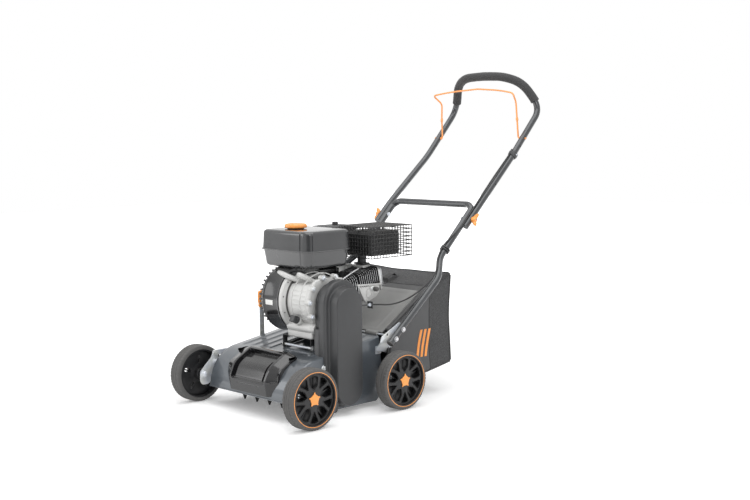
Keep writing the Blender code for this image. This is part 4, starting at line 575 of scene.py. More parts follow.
# %% Pipes along a path
def pipe(path, radius, sides=16, closed=False):
    bm = bmesh.new()
    count = len(path)
    radii = radius if isinstance(radius, list) else [radius] * count
    ways = []
    for i in range(count):
        a = path[i - 1] if closed or i else path[0]
        b = path[(i + 1) % count] if closed or i + 1 < count else path[-1]
        ways.append((b - a).normalized())
    guide = Vector((0, 0, 1)) if abs(ways[0].z) < 0.9 else Vector((1, 0, 0))
    side = (guide - ways[0] * guide.dot(ways[0])).normalized()
    rings = []
    for here, way, radius in zip(path, ways, radii):
        side = (side - way * side.dot(way)).normalized()
        over = way.cross(side)
        turns = [tau * k / sides for k in range(sides)]
        rings.append([bm.verts.new(here + (side * cos(turn) + over * sin(turn)) * radius) for turn in turns])
    for first, second in zip(rings, rings[1:] + (rings[:1] if closed else [])):
        bridge(bm, first, second)
    if not closed:
        bm.faces.new(rings[0])
        bm.faces.new(rings[-1])
    return clean(bm)

def bend(corners, trims, steps=8):
    path = [corners[0]]
    for before, here, after, trim in zip(corners, corners[1:], corners[2:], trims):
        path += corner(before, here, after, trim, steps, 1.0)
    return path + [corners[-1]]

def curve_through(points, per_span=6):
    path = [Vector(p) for p in points]
    ends = [path[0] * 2 - path[1]] + path + [path[-1] * 2 - path[-2]]
    result = []
    for a, b, c, d in zip(ends, ends[1:], ends[2:], ends[3:]):
        for t in (i / per_span for i in range(per_span)):
            result.append(0.5 * (2 * b + (c - a) * t + (2 * a - 5 * b + 4 * c - d) * t ** 2
                                 + (3 * b - a - 3 * c + d) * t ** 3))
    return result + [path[-1]]

# %% [markdown]
# ## Wheels
# The tyre is hard rubber with a shallow tread: blocks at both shoulders and a plain band
# between. Its section is turned in many small steps, and each groove sinks the rubber a little.

# %% Tyres
TYRE_WIDTH, TYRE_FACE, TYRE_STEPS, BEAD, GROOVE = 0.045, 0.2985, 216, 0.0771, 0.0011
WHEELS = {"front_left": (1, 0.0), "front_right": (-1, 0.0), "rear_left": (1, 0.367),
          "rear_right": (-1, 0.367)}
SECTION = [(-1, 0.0775), (-1, 0.0812), (-0.985, 0.085), (-0.93, 0.0878), (-0.85, 0.0893), (-0.8, 0.0897),
           (-0.52, 0.09), (-0.48, 0.09), (-0.44, 0.0889), (-0.38, 0.0889), (-0.34, 0.09), (-0.14, 0.09),
           (-0.1, 0.089), (0, 0.0888)]
SECTION += [(-t, r) for t, r in reversed(SECTION[:-1])]

def tyre(side, station):
    centre = spot(side * (TYRE_FACE - TYRE_WIDTH / 2), station, WHEEL_Z)
    rows = []
    for step in range(TYRE_STEPS):
        turn = tau * step / TYRE_STEPS
        row = []
        for t, radius in SECTION + [(1, BEAD), (-1, BEAD)]:
            if 0.5 < abs(t) < 0.99 and step % 4 == (0 if t > 0 else 2):
                radius -= GROOVE
            row.append(centre + Vector((t * TYRE_WIDTH / 2, radius * cos(turn), radius * sin(turn))))
        rows.append(row)
    return skin(rows + rows[:1], wrap=True)

for name, wheel in WHEELS.items():
    piece(f"tyre_{name}_tread", RUBBER, tyre(*wheel), body=f"wheel_{name}", cad=f"tyre_{name}", sharp=28)

# %% [markdown]
# A thin coloured ring is moulded into each tyre's outer side, right beside the rim.

# %% Coloured rings
for name, (side, station) in WHEELS.items():
    flat = [(0, 0.0781), (0.0005, 0.0783), (0.0005, 0.0797), (0, 0.0799), (-0.001, 0.0799), (-0.001, 0.0781)]
    band = hoop(flat, spot(side * TYRE_FACE, station, WHEEL_Z), (side, 0, 0), 96)
    piece(f"ring_{name}", ORANGE, band, body=f"wheel_{name}")

# %% [markdown]
# The rim is one moulding: a drum, a hub and five spokes that fork towards the drum. The
# windows between the spokes are rounded, and the spokes' edges stand out as raised ribs.

# %% Rims
RIM_FACE = 0.2925
FIVE_TURNS = [90 + 72 * i for i in range(5)]

def fan(*corners):
    """Five equal outlines round the wheel's middle, from the corners (radius, turn) of one."""
    return [[polar(radius, turn + more) for radius, more in corners] for turn in FIVE_TURNS]

def at_wheel(station, points):
    return [(station + a, WHEEL_Z + b) for a, b in points]

LARGE_WINDOW = (0.027, 0), (0.043, -18), (0.066, -14), (0.069, 0), (0.066, 14), (0.043, 18)
SMALL_WINDOW = (0.035, 36), (0.06, 25), (0.068, 24), (0.0695, 36), (0.068, 48), (0.06, 47)
WINDOWS = [rounded(loop, 0.004) for loop in fan(*LARGE_WINDOW)]
WINDOWS += [rounded(loop, 0.0035) for loop in fan(*SMALL_WINDOW)]
SLOTS = [rounded(loop, 0.006, 4) for loop in fan((0.033, -9), (0.057, -6), (0.057, 6), (0.033, 9))]

def rim(side, station):
    """All the shapes of one rim; depths count inward from its outer face."""
    def plate(outline, near, far, edge, holes=()):
        depths = (side * (RIM_FACE - depth) for depth in (near, far))
        return slab(at_wheel(station, outline), *depths, edge, [at_wheel(station, hole) for hole in holes])

    axle = spot(side * RIM_FACE, station, WHEEL_Z), (side, 0, 0)
    drum = hoop([(0.0052, 0.0767), (0.0054, 0.0745), (0.0025, 0.0735), (-0.01, 0.0728), (-0.038, 0.0722),
                 (-0.0388, 0.0735), (-0.0388, 0.0767)], *axle, 96)
    hub = solid([(0.001, 0.015), (0, 0.0165), (-0.008, 0.0172), (-0.0378, 0.0165), (-0.0388, 0.015),
                 (-0.0388, 0.0066), (-0.03, 0.0066)], *axle, 40)
    ribs = [plate(loop, 0.012, 0.022, 0.0006)
            for loop in fan((0.016, -9), (0.016, 9), (0.073, 1.6), (0.073, -1.6))]
    edges = [pipe([spot(side * (RIM_FACE - 0.0002), *p) for p in at_wheel(station, shrink(loop, -0.0018))],
                  0.0011, 6, closed=True) for loop in WINDOWS]
    return [plate(ring_of((0, 0), 0.0752, 96), 0, 0.0075, 0.0012, WINDOWS), drum, hub,
            plate(ring_of((0, 0), 0.0732, 96), 0.0215, 0.0245, 0.0006, SLOTS), *ribs, *edges]

for name, wheel in WHEELS.items():
    piece(f"spokes_{name}", WHEEL_BLACK, *rim(*wheel), body=f"wheel_{name}", cad=f"rim_{name}", sharp=40)

# %% [markdown]
# Each hub is closed by a five-pointed clip-on cap with rounded points, slightly domed.

# %% Star caps
POINT = ((0.0165, -11), (0.0213, -4), (0.0213, 4), (0.0165, 11), (0.0149, 36))
star = rounded([p for loop in fan(*POINT) for p in loop], 0.0012, 3)
for name, (side, station) in WHEELS.items():
    base = slab(at_wheel(station, star), side * (RIM_FACE + 0.0006), side * (RIM_FACE + 0.0036), 0.0014)
    dome = turned([(0, 0.0105), (0.0008, 0.0098), (0.0009, 0)],
                  spot(side * (RIM_FACE + 0.0034), station, WHEEL_Z),
                  (side, 0, 0), 32)
    piece(f"star_{name}", ORANGE, base, dome, body=f"wheel_{name}")

# %% [markdown]
# The front axle's arms end in bright nuts on their inner side, which show between the
# deck and the far wheel.

# %% Axle nuts
nuts = []
for side in (1, -1):
    nuts += [bolt((side * 0.2385, 0, WHEEL_Z), (-side, 0, 0), 0.0095, 0.008, 1.45),
             rod((side * 0.231, 0, WHEEL_Z), (side * 0.226, 0, WHEEL_Z), 0.0052, 20)]
piece("axle_nuts", ZINC, *nuts, body="front_axle_arms")

# %% [markdown]
# ## Deck
# The deck is one bent sheet between two side plates. Its nose is a large round, its top
# slopes up to the rear, and pressed ribs run from front to back. The sheet's long edges
# are folded down over a small radius, so the light runs along them as a soft line.

# %% The deck's top line
DECK_LEFT, DECK_RIGHT = 0.190, -0.210
NOSE, NOSE_R, SLOPE = (0.1135, 0.0634), 0.115, radians(9)
TOP_END, FOLD, LIP_HEIGHT = 0.357, 0.007, 0.058

def deck_top(station, lift=0.0):
    along = station - NOSE[0] + NOSE_R * sin(SLOPE)
    return NOSE[1] + NOSE_R * cos(SLOPE) + along * tan(SLOPE) + lift / cos(SLOPE)

def deck_line(count_top):
    """Places along the sheet with the way out of it: round the nose, then up the slope."""
    outs = [Vector(polar(1, 180 - 81 * i / 25)) for i in range(26)]
    line = [(Vector(NOSE) + out * NOSE_R, out) for out in outs]
    up, first = Vector((-sin(SLOPE), cos(SLOPE))), line[-1][0].x
    for i in range(1, count_top + 1):
        s = first + (TOP_END - first) * i / count_top
        line.append((Vector((s, deck_top(s))), up))
    return line

# %% [markdown]
# The ribs are pressed into the sheet, so they're a lift of the same skin, with points set
# closely where a rib's side rises. The folds at both edges belong to the skin as well.

# %% The bent sheet with its ribs
RIB_MIDDLES = (-0.178, -0.138, -0.098, -0.058, 0.148)

def rib_lift(x, station):
    ends = bell(station, 0.109, 0.122, 0.325, 0.338)
    return max(0.0028 * (1 - soft_step(abs(x - middle), 0.0055, 0.01)) * ends for middle in RIB_MIDDLES)

stops = [DECK_RIGHT + FOLD, DECK_LEFT - FOLD] + [-0.02 + 0.02 * i for i in range(8)]
stops += [middle + way * d for middle in RIB_MIDDLES for way in (-1, 1)
          for d in (0.0052, 0.0066, 0.0077, 0.0088, 0.0103)]
rows = []
for place, out in deck_line(44):
    turns = [radians(15 * k) for k in range(1, 7)]
    fold = [(FOLD * sin(turn), place - out * FOLD * (1 - cos(turn))) for turn in turns]
    rows.append([spot(DECK_RIGHT + FOLD - over, *flat) for over, flat in reversed(fold)]
                + [spot(x, *(place + out * rib_lift(x, place.x))) for x in sorted(stops)]
                + [spot(DECK_LEFT - FOLD + over, *flat) for over, flat in fold])
lip = [Vector((p.x, p.y, LIP_HEIGHT)) for p in rows[0]]
sheet = thicken(skin([lip] + rows), 0.0026)

# %% [markdown]
# The side plates follow the same line, just inside the fold. Each has round holes for
# the front axle, the rear axle and the rotor's shaft.

# %% Side plates
profile = [tuple(p - out * (FOLD - 0.0004)) for p, out in deck_line(10)]
skirt = [(0.374, 0.192), (0.374, 0.05), (0.345, 0.015), (0.118, 0.015), (0.08, 0.055)]
outline = [(profile[0][0], LIP_HEIGHT)] + profile + rounded(skirt, 0.006, 4)[6:]
holes = [ring_of((0.045, 0.125), 0.0083, 28), ring_of((0.367, 0.09), 0.0063, 24),
         ring_of((0.2, 0.078), 0.0104)]
plates = [slab(outline, outer, outer - side * 0.003, 0.0004, holes)
          for outer, side in ((DECK_LEFT, 1), (DECK_RIGHT, -1))]
hem = pipe([spot(x, -0.0013, 0.0585) for x in (DECK_RIGHT + 0.002, -0.1, 0, 0.1, DECK_LEFT - 0.002)], 0.0022,
           12)
piece("deck_sheet", DECK_PAINT, sheet, *plates, hem, cad="deck_housing", sharp=40)

# %% [markdown]
# Studs, hinge screws and flange bolts are zinc plated. The two studs on the sides carry
# the depth lever and the belt tensioner.

# %% Studs and bolts of the deck
studs = [rod((DECK_RIGHT, 0.221, 0.125), (-0.2235, 0.221, 0.125), 0.0048, 20),
         bolt((-0.2233, 0.221, 0.125), (-1, 0, 0), 0.0062, 0.0046),
         rod((DECK_LEFT, 0.2, 0.15), (0.1947, 0.2, 0.15), 0.009, 28),
         rod((0.194, 0.2, 0.15), (0.199, 0.2, 0.15), 0.005, 20)]
for station, height in ((0.128, 0.149), (0.06, 0.06)):
    for x, way in ((DECK_LEFT, 1), (DECK_RIGHT, -1)):
        studs.append(bolt((x, station, height), (way, 0, 0), 0.0062, 0.0055))
piece("deck_bolts", ZINC, *studs)

# %% [markdown]
# ## Front hood
# A glossy moulding clips over the deck's nose. Its middle panel lies in a frame that
# doubles as a carrying handle: a deep channel runs behind and beside the panel, and a
# shallow line crosses the panel's front. The panel is left bare.

# %% The hood's side line and its relief
HOOD_HALF, HOOD_FLAT = 0.123, 0.087
HOOD_LINE = [(-0.009, 0.067), (-0.016, 0.112), (0, 0.1455), (0.0125, 0.158), (0.068, 0.1895), (0.088, 0.1895),
             (0.088, 0.174)]

def spaced(path, count):
    """Evenly spaced places on a flat path, each with the way square to it."""
    lengths = [0.0]
    for a, b in zip(path, path[1:]):
        lengths.append(lengths[-1] + (b - a).length)
    result, k = [], 0
    for i in range(count):
        distance = lengths[-1] * i / (count - 1)
        while k < len(path) - 2 and lengths[k + 1] < distance:
            k += 1
        a, b = path[k], path[k + 1]
        step = (b - a).normalized()
        t = (distance - lengths[k]) / max(1e-9, lengths[k + 1] - lengths[k])
        result.append((a.lerp(b, t), Vector((-step.y, step.x))))
    return result

def hood_depth(x, station, height):
    a = abs(x)
    inside = (1 - soft_step(a, 0.0772, 0.079)) * (1 - soft_step(station, 0.059, 0.061))
    inside *= soft_step(height, 0.1035, 0.106)
    channel = soft_step(a, 0.064, 0.0658) * soft_step(height, 0.108, 0.114)
    back = soft_step(station, 0.032, 0.0345)
    line = (1 - soft_step(abs(height - 0.094), 0.0006, 0.0015)) * (1 - soft_step(a, 0.05, 0.052))
    return inside * (0.006 + 0.0085 * max(channel, back)) + 0.001 * line

# %% [markdown]
# The hood's right half mirrors its left. Beyond the flat middle the skin drops a little
# towards the shoulder, rolls over it and ends in a short wall.

# %% The hood as one skin
columns = [0, 0.012, 0.024, 0.036, 0.046, 0.0505, 0.0518, 0.058, 0.0632, 0.064, 0.0649, 0.0658, 0.0666, 0.07,
           0.074, 0.0766, 0.0772, 0.0781, 0.079, 0.0798, 0.084, HOOD_FLAT]
columns += [HOOD_FLAT + (HOOD_HALF - HOOD_FLAT) * f
            for f in (0.1, 0.25, 0.4, 0.55, 0.68, 0.78, 0.85, 0.9, 0.94, 0.97, 0.99, 1)]
path = [Vector(HOOD_LINE[0])]
for before, here, after in zip(HOOD_LINE, HOOD_LINE[1:], HOOD_LINE[2:]):
    path += corner(before, here, after, 0.008, 4, 0.45)
rows = []
for place, out in spaced(path + [Vector(HOOD_LINE[-1])], 110):
    row = []
    for x in columns:
        slope = max(0.0, x - HOOD_FLAT) / (HOOD_HALF - HOOD_FLAT)
        drop = slope * (0.01 + 0.012 * (1 - soft_step(place.y, 0.11, 0.15)))
        edge = min(1.0, max(0.0, (x - (HOOD_HALF - 0.006)) / 0.006))
        drop += 0.006 * (1 - sqrt(1 - edge * edge))
        row.append((x, place - out * (hood_depth(x, *place) + drop)))
    row += [(HOOD_HALF, row[-1][1] - out * wall) for wall in (0.01, 0.024)]
    rows.append([spot(-x, *flat) for x, flat in row[:0:-1]] + [spot(x, *flat) for x, flat in row])
piece("hood", GLOSS_BLACK, skin(rows), cad="front_hood", sharp=38)

# %% [markdown]
# ## Belt cover
# The cover is moulded in two steps with round ends and softly rolled edges, and a skirt
# under the engine. It is lofted through rings of the same number of points, from the
# inner rim outward.

# %% Stepped cover
CRANK = (0.2, 0.335)  # the crankshaft's station and height

def capsule_line(radius, foot):
    return arc(CRANK, radius, 0, 180, 28) + arc((CRANK[0], foot + radius), radius, 180, 360, 28)

def capsule(x, radius, foot, cut):
    """A ring of the cover at x, whose outline lies `cut` inside the given one."""
    return [spot(x, *p) for p in capsule_line(radius - cut, foot + cut)]

def rolled_edge(outer, radius, foot, roll, share, draft):
    return [capsule(outer - roll + roll * sin(turn), radius, foot, roll * (1 - cos(turn)) * share + draft)
            for turn in (radians(90 * k / 8) for k in range(9))]

LARGE, SMALL, INSIDE_ROUND = (0.0735, 0.02), (0.0545, 0.0262), 0.0045
rings = [capsule(0.169, *LARGE, 0.0015), capsule(0.1705, *LARGE, 0)]
rings += rolled_edge(0.1975, *LARGE, 0.008, 1, 0.0006)
rings += [capsule(0.1975 + INSIDE_ROUND * (1 - cos(turn)), *SMALL, INSIDE_ROUND * (sin(turn) - 1))
          for turn in (radians(18 * k) for k in range(6))]
rings += rolled_edge(0.23, *SMALL, 0.0062, 0.55, 0.003)
lower = arc((0.2, 0.092), 0.0715, 180, 360, 28) + [(0.2715, 0.262), (0.1285, 0.262)]
foot = [(0.112, 0.012), (0.16, 0.012), (0.176, 0.055), (0.168, 0.076), (0.14, 0.06)]
piece("stepped_cover", SATIN_BLACK, closed_skin(rings),
      slab(rounded(lower, 0.0012, 1), 0.1465, 0.1695, 0.0025),
      slab(capsule_line(0.06, 0.215), 0.1415, 0.17, 0.0015),
      slab(rounded(foot, 0.006, 4), 0.1985, 0.212, 0.0015),
      cad="belt_cover", sharp=50)
piece("cable_stop", SATIN_BLACK, block((0.152, 0.274, 0.3125), (0.163, 0.3475, 0.3155), 0.0006, 1),
      block((0.152, 0.3445, 0.303), (0.175, 0.3475, 0.325), 0.001, 2))
piece("cable_adjuster", ZINC, rod((0.165, 0.3355, 0.314), (0.165, 0.3525, 0.314), 0.0042, 20),
      bolt((0.165, 0.3476, 0.314), (0, 1, 0), 0.0052, 0.0036, 1.15),
      bolt((0.165, 0.3444, 0.314), (0, -1, 0), 0.0052, 0.0036, 1.15))

# %% [markdown]
# A comb of pointed teeth hangs just behind the deck's front lip. It keeps stones and
# thrown moss back, and its points show under the hood.

# %% Stone comb
tooth = rounded([(0.07, 0.064), (0.107, 0.064), (0.099, 0.038), (0.085, 0.012), (0.0805, 0.012),
                 (0.072, 0.038)],
                0.0012, 2)
teeth = [slab(tooth, x - 0.0014, x + 0.0014, 0.0005) for x in (-0.1384 + 0.0617 * i for i in range(6))]
piece("stone_comb", GUARD_BLACK, rod((-0.196, 0.0885, 0.06), (0.176, 0.0885, 0.06), 0.0045, 16), *teeth,
      sharp=40)

# %% [markdown]
# ## Depth lever
# A flat zinc lever with a soft orange grip sets the working depth. Its link pushes the
# front axle's arms.

# %% Depth lever and its grip
bar = slab(rounded(rectangle(0.212, 0.23, 0.109, 0.3), 0.005, 4), -0.2225, -0.2185, 0.0007,
           [ring_of((0.221, 0.125), 0.0054, 24)])
pin = rod((-0.2205, 0.221, 0.155), (-0.2355, 0.221, 0.155), 0.003, 16)
piece("lever_bar", ZINC, bar, pin, body="height_lever", cad="depth_lever", sharp=40)
rings = []
for t in (step / 24 for step in range(25)):
    swell = 1 + 0.1 * sin(pi * t) - 0.16 * exp(-((t - 0.2) / 0.1) ** 2)
    close = sqrt(max(0.0, 1 - max(0.0, (t - 0.88) / 0.12) ** 2))
    size = 0.95 * swell * min(close, 0.8 + 2.5 * t)
    ring = []
    for k in range(28):
        c, s = squarish(tau * k / 28, 0.65)
        ring.append(spot(-0.2205 + 0.0072 * size * c, 0.221 + 0.0132 * size * s, 0.283 + 0.055 * t))
    rings.append(ring)
piece("lever_grip", ORANGE, closed_skin(rings), body="height_lever", sharp=60)

# %% [markdown]
# ## Engine
# The fan housing is a glossy pressed drum with a duct towards the cylinder. The starter
# cover closes its far end, with a row of cooling slots round the rim. A plain white
# patch sits low on the drum's front.

# %% Fan housing
SHAFT = spot(0, *CRANK)
TILT = Matrix.Rotation(radians(12), 3, "X")

def level_off(bm, limit):
    for v in bm.verts:
        v.co.z = min(v.co.z, limit + (v.co.z - limit) * 0.12)
    return bm

def slanted(bm):
    bmesh.ops.rotate(bm, cent=SHAFT, matrix=TILT, verts=bm.verts)
    return bm

drum = solid([(0.0195, 0.101), (0.019, 0.1055), (0.0175, 0.106), (0.0155, 0.106), (0.014, 0.105),
              (0.012, 0.1047),
              (-0.048, 0.104), (-0.05, 0.1046), (-0.052, 0.1058), (-0.056, 0.106), (-0.059, 0.1045),
              (-0.06, 0.101), (-0.06, 0.085), (-0.056, 0.083)], SHAFT, steps=120)
piece("fan_drum", GLOSS_BLACK, drum, block((-0.046, 0.262, 0.325), (0.0195, 0.346, 0.425), 0.01, 4),
      block((-0.0475, 0.336, 0.33), (0.0195, 0.3475, 0.42), 0.002, 2), cad="blower_housing", sharp=50)
patch = [[spot(x, *polar(0.10445, 1.06 * k - 181.6, CRANK)) for x in (-0.042, -0.024, -0.006)]
         for k in range(9)]
piece("plain_patch", LABEL_WHITE, thicken(skin(patch), 0.0004))

# %% [markdown]
# The starter cover is a turned dish. Forty fins stand round its rim, twelve flat spokes
# lie on its face, and a thin band joins it to the drum.

# %% Starter cover with its cooling slots
foot, out = spot(-0.06, *CRANK), (-1, 0, 0)
dish = solid([(0.0003, 0.094), (0.006, 0.0935), (0.022, 0.09), (0.0265, 0.086), (0.03, 0.079), (0.0317, 0.07),
              (0.0317, 0.034), (0.03, 0.031)], foot, out, 96)
band = hoop([(0.0003, 0.088), (0.0003, 0.098), (0.003, 0.098), (0.003, 0.088)], foot, out, 96)
fins = []
for a in (tau * i / 40 for i in range(40)):
    radial, over = Vector((0, cos(a), sin(a))), Vector((0, -sin(a), cos(a)))
    place = axes(Vector((1, 0, 0)), over, radial, spot(-0.0722, *CRANK) + radial * 0.0945)
    fins.append(ease_edges(cube((0.02, 0.0052, 0.007), place), 0.0008, 1))
spokes = [slab(rounded([polar(r, turn + degrees(w), CRANK)
                        for r, w in ((0.036, -0.06), (0.068, -0.035), (0.068, 0.035), (0.036, 0.06))], 0.003,
                       2),
               -0.0933, -0.0915) for turn in range(15, 360, 30)]
piece("starter_cover", SATIN_BLACK, dish, band, *fins, *spokes, cad="recoil_cover", sharp=45)

# %% [markdown]
# The crankcase is a sandy aluminium casting. A bright machined flange holds the fan
# housing, a thin dark ring painted as the shadow in the gap parts it from the case, and
# low ribs stiffen the front.

# %% Crankcase
CASE_RADIUS = 0.086
case = solid([(0.033, 0.08), (0.0362, 0.0815), (0.04, 0.0848), (0.045, CASE_RADIUS), (0.122, CASE_RADIUS),
              (0.124, 0.0852), (0.1248, 0.0838)], SHAFT, steps=96)
ribs = []
for lift in (0.014 * i - 0.046 for i in range(7)):
    front, height = CRANK[0] - sqrt(CASE_RADIUS ** 2 - lift ** 2), CRANK[1] + lift
    ribs.append(block((0.064, front - 0.002, height - 0.0012), (0.12, front + 0.012, height + 0.0012), 0.0009,
                      2))
for x in (0.0605, 0.099):
    ribs.append(hoop([(x - 0.0017, 0.085), (x - 0.0012, 0.088), (x + 0.0012, 0.088), (x + 0.0017, 0.085)],
                     SHAFT,
                     steps=96))
base = block((0.02, 0.13, 0.2265), (0.134, 0.286, 0.26), 0.006, 3)
pad = block((0.024, 0.136, 0.256), (0.13, 0.276, 0.268), 0.004, 3)
bulge = solid([(-0.064, 0.01), (-0.056, 0.016), (-0.048, 0.018), (0.048, 0.018), (0.056, 0.016),
               (0.064, 0.01)],
              spot(0.078, 0.142, 0.26), steps=40)
filler_axis, filler_foot = Vector((0, *polar(1, 157.5))), spot(0.08, 0.17, 0.262)
boss = solid([(0, 0.0165), (0.03, 0.015), (0.046, 0.014), (0.0475, 0.015), (0.0535, 0.015), (0.0545, 0.014)],
             filler_foot, filler_axis, 40)
seat = slanted(block((0.03, 0.222, 0.29), (0.122, 0.292, 0.386), 0.01, 3))
shoulder = solid([(0, 0.013), (0.02, 0.0115), (0.022, 0.01)], spot(0.046, 0.16, 0.392), (0, -0.55, 0.83), 32)
piece("case_casting", CAST, level_off(case, 0.39), *ribs, base, pad, bulge, boss, seat, shoulder,
      cad="crankcase",
      sharp=38)
flange = hoop([(0.0203, 0.07), (0.0203, 0.103), (0.0212, 0.104), (0.031, 0.104), (0.0322, 0.103),
               (0.033, 0.101),
               (0.033, 0.09), (0.0345, 0.088), (0.0345, 0.07)], SHAFT, steps=120)
piece("case_flange", CAST, level_off(flange, 0.406), sharp=40)
# A thin dark ring is painted shadow in the gap between flange and case, and the thin dark discs on the flange
# are painted shade in its holes.
gap_shadow = hoop([(0.0346, 0.08), (0.0346, 0.0874), (0.0372, 0.0874), (0.0372, 0.08)], SHAFT, steps=96)
holes = [rod((0.0325, *at), (0.03345, *at), 0.0024, 20, 0.0001)
         for at in (polar(0.0955, turn, CRANK) for turn in (102, 142, 170, 200, 236))]
piece("gap_and_hole_shade", RUBBER, level_off(gap_shadow, 0.398), *holes)

# %% [markdown]
# The cover on the near side stands on a ring of round lugs, each with a bolt.

# %% Crankcase cover with its bolts
lugs, screws = [], []
for at in (polar(0.08, turn, CRANK) for turn in (0, 36, 72, 108, 144, 176, 208)):
    lugs.append(solid([(0.1255, 0.0088), (0.14, 0.0084), (0.141, 0.0074)], spot(0, *at), steps=28))
    screws.append(bolt((0.141, *at), (1, 0, 0), 0.005, 0.0058, 1.45))
plate = solid([(0.1253, 0.085), (0.1262, 0.086), (0.131, 0.086), (0.1325, 0.0845), (0.135, 0.078),
               (0.136, 0.06),
               (0.136, 0.029), (0.143, 0.0275), (0.1445, 0.0255)], SHAFT, steps=96)
piece("case_cover", CAST, level_off(plate, 0.407), *lugs, cad="crankcase_cover", sharp=40)
screws += [bolt((x, s, 0.262), (0, 0, 1), 0.0058, 0.006) for x in (0.031, 0.123) for s in (0.139, 0.277)]
piece("case_bolts", ZINC, *screws)

# %% [markdown]
# Two cast arms reach up from the crankcase to the tank. A black square plug closes the
# oil filler.

# %% Tank arms and oil plug
def tank_arm(*points):
    path = curve_through([spot(*p) for p in points], 5)
    return pipe(path, [0.0085 - 0.0035 * abs(2 * i / (len(path) - 1) - 1) ** 4 for i in range(len(path))])

piece("tank_arms", CAST,
      tank_arm((-0.006, 0.12, 0.424), (0.012, 0.121, 0.419), (0.034, 0.128, 0.411), (0.046, 0.15, 0.401),
               (0.045, 0.18, 0.392), (0.042, 0.215, 0.385)),
      tank_arm((0.08, 0.122, 0.424), (0.086, 0.133, 0.418), (0.091, 0.152, 0.408), (0.093, 0.175, 0.397),
               (0.093, 0.215, 0.385)), cad="tank_bracket", sharp=45)
piece("arm_bolts", ZINC, *[bolt((x, 0.208, 0.394), (0, 0, 1), 0.0048, 0.0036) for x in (0.043, 0.093)])
start, across = filler_foot + filler_axis * 0.0549, Vector((1, 0, 0))
collar = solid([(0, 0.0115), (0.0065, 0.0118), (0.0078, 0.0105)], start, filler_axis, 40)
head = cube((0.0205, 0.0205, 0.0142), axes(across, filler_axis.cross(across), filler_axis,
                                           start + filler_axis * 0.0148))
piece("filler_plug", SATIN_BLACK, collar, ease_edges(head, 0.0022, 3), body="oil_cap", cad="oil_plug",
      sharp=40)

# %% [markdown]
# ## Cylinder
# The barrel leans back a little. Its black fins have rounded corners, and bright metal rims
# along their edges are painted highlights; the head's lower casting is bare aluminium, and
# the rocker cover closes the far end.

# %% Fins in the cylinder's own slant
NEAR, FAR, PITCH = 0.1285, 0.024, 0.0082

def fin(start, thick, x_low, x_high, low, high, radius):
    outline = rounded(rectangle(x_low, x_high, CRANK[1] + low, CRANK[1] + high), radius)
    return slanted(slab(outline, CRANK[0] + start, CRANK[0] + start + thick, 0.0006, axis="Y"))

# A bright metal rim along a fin's edge, as a painted highlight.
def fin_highlight(start, x_low, x_high, low, high, radius, thick):
    outline = rounded(rectangle(x_low, x_high, low, high), radius)
    return slanted(pipe([spot(a, CRANK[0] + start, CRANK[1] + b) for a, b in outline], thick, 6, closed=True))

barrel = slanted(solid([(0.09, 0.0395), (0.165, 0.0385)], spot(0.076, *CRANK), (0, 1, 0), 48))
fins = [fin(0.099 + PITCH * i, 0.0022, FAR, NEAR, -0.045, 0.0445, 0.026) for i in range(5)]
piece("barrel", HEAT_BLACK, barrel, fin(0.089, 0.008, 0.028, 0.1245, -0.043, 0.043, 0.012), *fins,
      cad="cylinder_block", sharp=40)
piece("fin_edge_highlights", MACHINED,
      *[fin_highlight(0.1001 + PITCH * i, FAR + 0.0005, NEAR - 0.0005, -0.0445, 0.044, 0.026, 0.0009)
                              for i in range(5)])

# %% [markdown]
# The head has closer fins over its upper half. Under them a cast deflector leads the air
# down and carries a raised arch; the port to the silencer leaves at the top.

# %% Head, air deflector and rocker cover
fins = [fin(0.143 + PITCH * i, 0.0022, 0.026, NEAR + 0.001, -0.01, 0.0445, 0.012) for i in range(11)]
core = slanted(block((0.034, CRANK[0] + 0.14, CRANK[1] - 0.034), (0.118, CRANK[0] + 0.2345, CRANK[1] + 0.034),
                     0.004, 2))
piece("head_fins", HEAT_BLACK, core, *fins, cad="cylinder_head", sharp=40)
# The head's fins get bright rims along their edges too: painted highlights.
piece("head_fin_highlights", STEEL, *[fin_highlight(0.1441 + PITCH * i, 0.0265, NEAR + 0.0005, -0.0095, 0.044, 0.012, 0.0008)
                            for i in range(11)])
funnel = [(0.327, 0.3735), (0.424, 0.369), (0.4235, 0.34), (0.401, 0.325), (0.366, 0.313), (0.354, 0.323)]
arch = rounded([(0.364, 0.33), (0.364, 0.356), (0.374, 0.364), (0.386, 0.356), (0.389, 0.334)], 0.007, 4)
lip = rounded([(0.325, 0.376), (0.4255, 0.3712), (0.4255, 0.366), (0.325, 0.3705)], 0.002, 3)
piece("head_casting", CAST, slab(rounded(funnel, 0.009), 0.052, 0.1285, 0.0065),
      slab(arch, 0.1275, 0.1302, 0.0009, [shrink(arch, 0.0034)]), slab(lip, 0.03, 0.1297, 0.001),
      fin(0.232, 0.0034, 0.027, 0.1235, -0.039, 0.04, 0.01),
      rod((0.07, 0.4, 0.392), (0.07, 0.4, 0.4285), 0.0165, 32, 0.0012),
      block((0.046, 0.384, 0.4195), (0.094, 0.416, 0.4285), 0.003, 2), sharp=40)
dome = slanted(block((0.038, CRANK[0] + 0.238, CRANK[1] - 0.032), (0.112, CRANK[0] + 0.262, CRANK[1] + 0.032),
                     0.01, 4))
piece("rocker_box", MACHINED, fin(0.2354, 0.006, 0.034, 0.116, -0.036, 0.036, 0.01), dome, cad="rocker_cover",
      sharp=45)
PLUG = (0.392, 0.357)
piece("plug_body", ZINC, solid([(0, 0.009), (0.0075, 0.009), (0.0085, 0.0078)], spot(0.1223, *PLUG), steps=6),
      rod((0.1303, *PLUG), (0.1363, *PLUG), 0.0058), cad="spark_plug")
piece("plug_boot", RUBBER, solid([(0, 0.0072), (0.01, 0.0076), (0.014, 0.0066), (0.0155, 0.005)],
                                 spot(0.1358, *PLUG), steps=28))
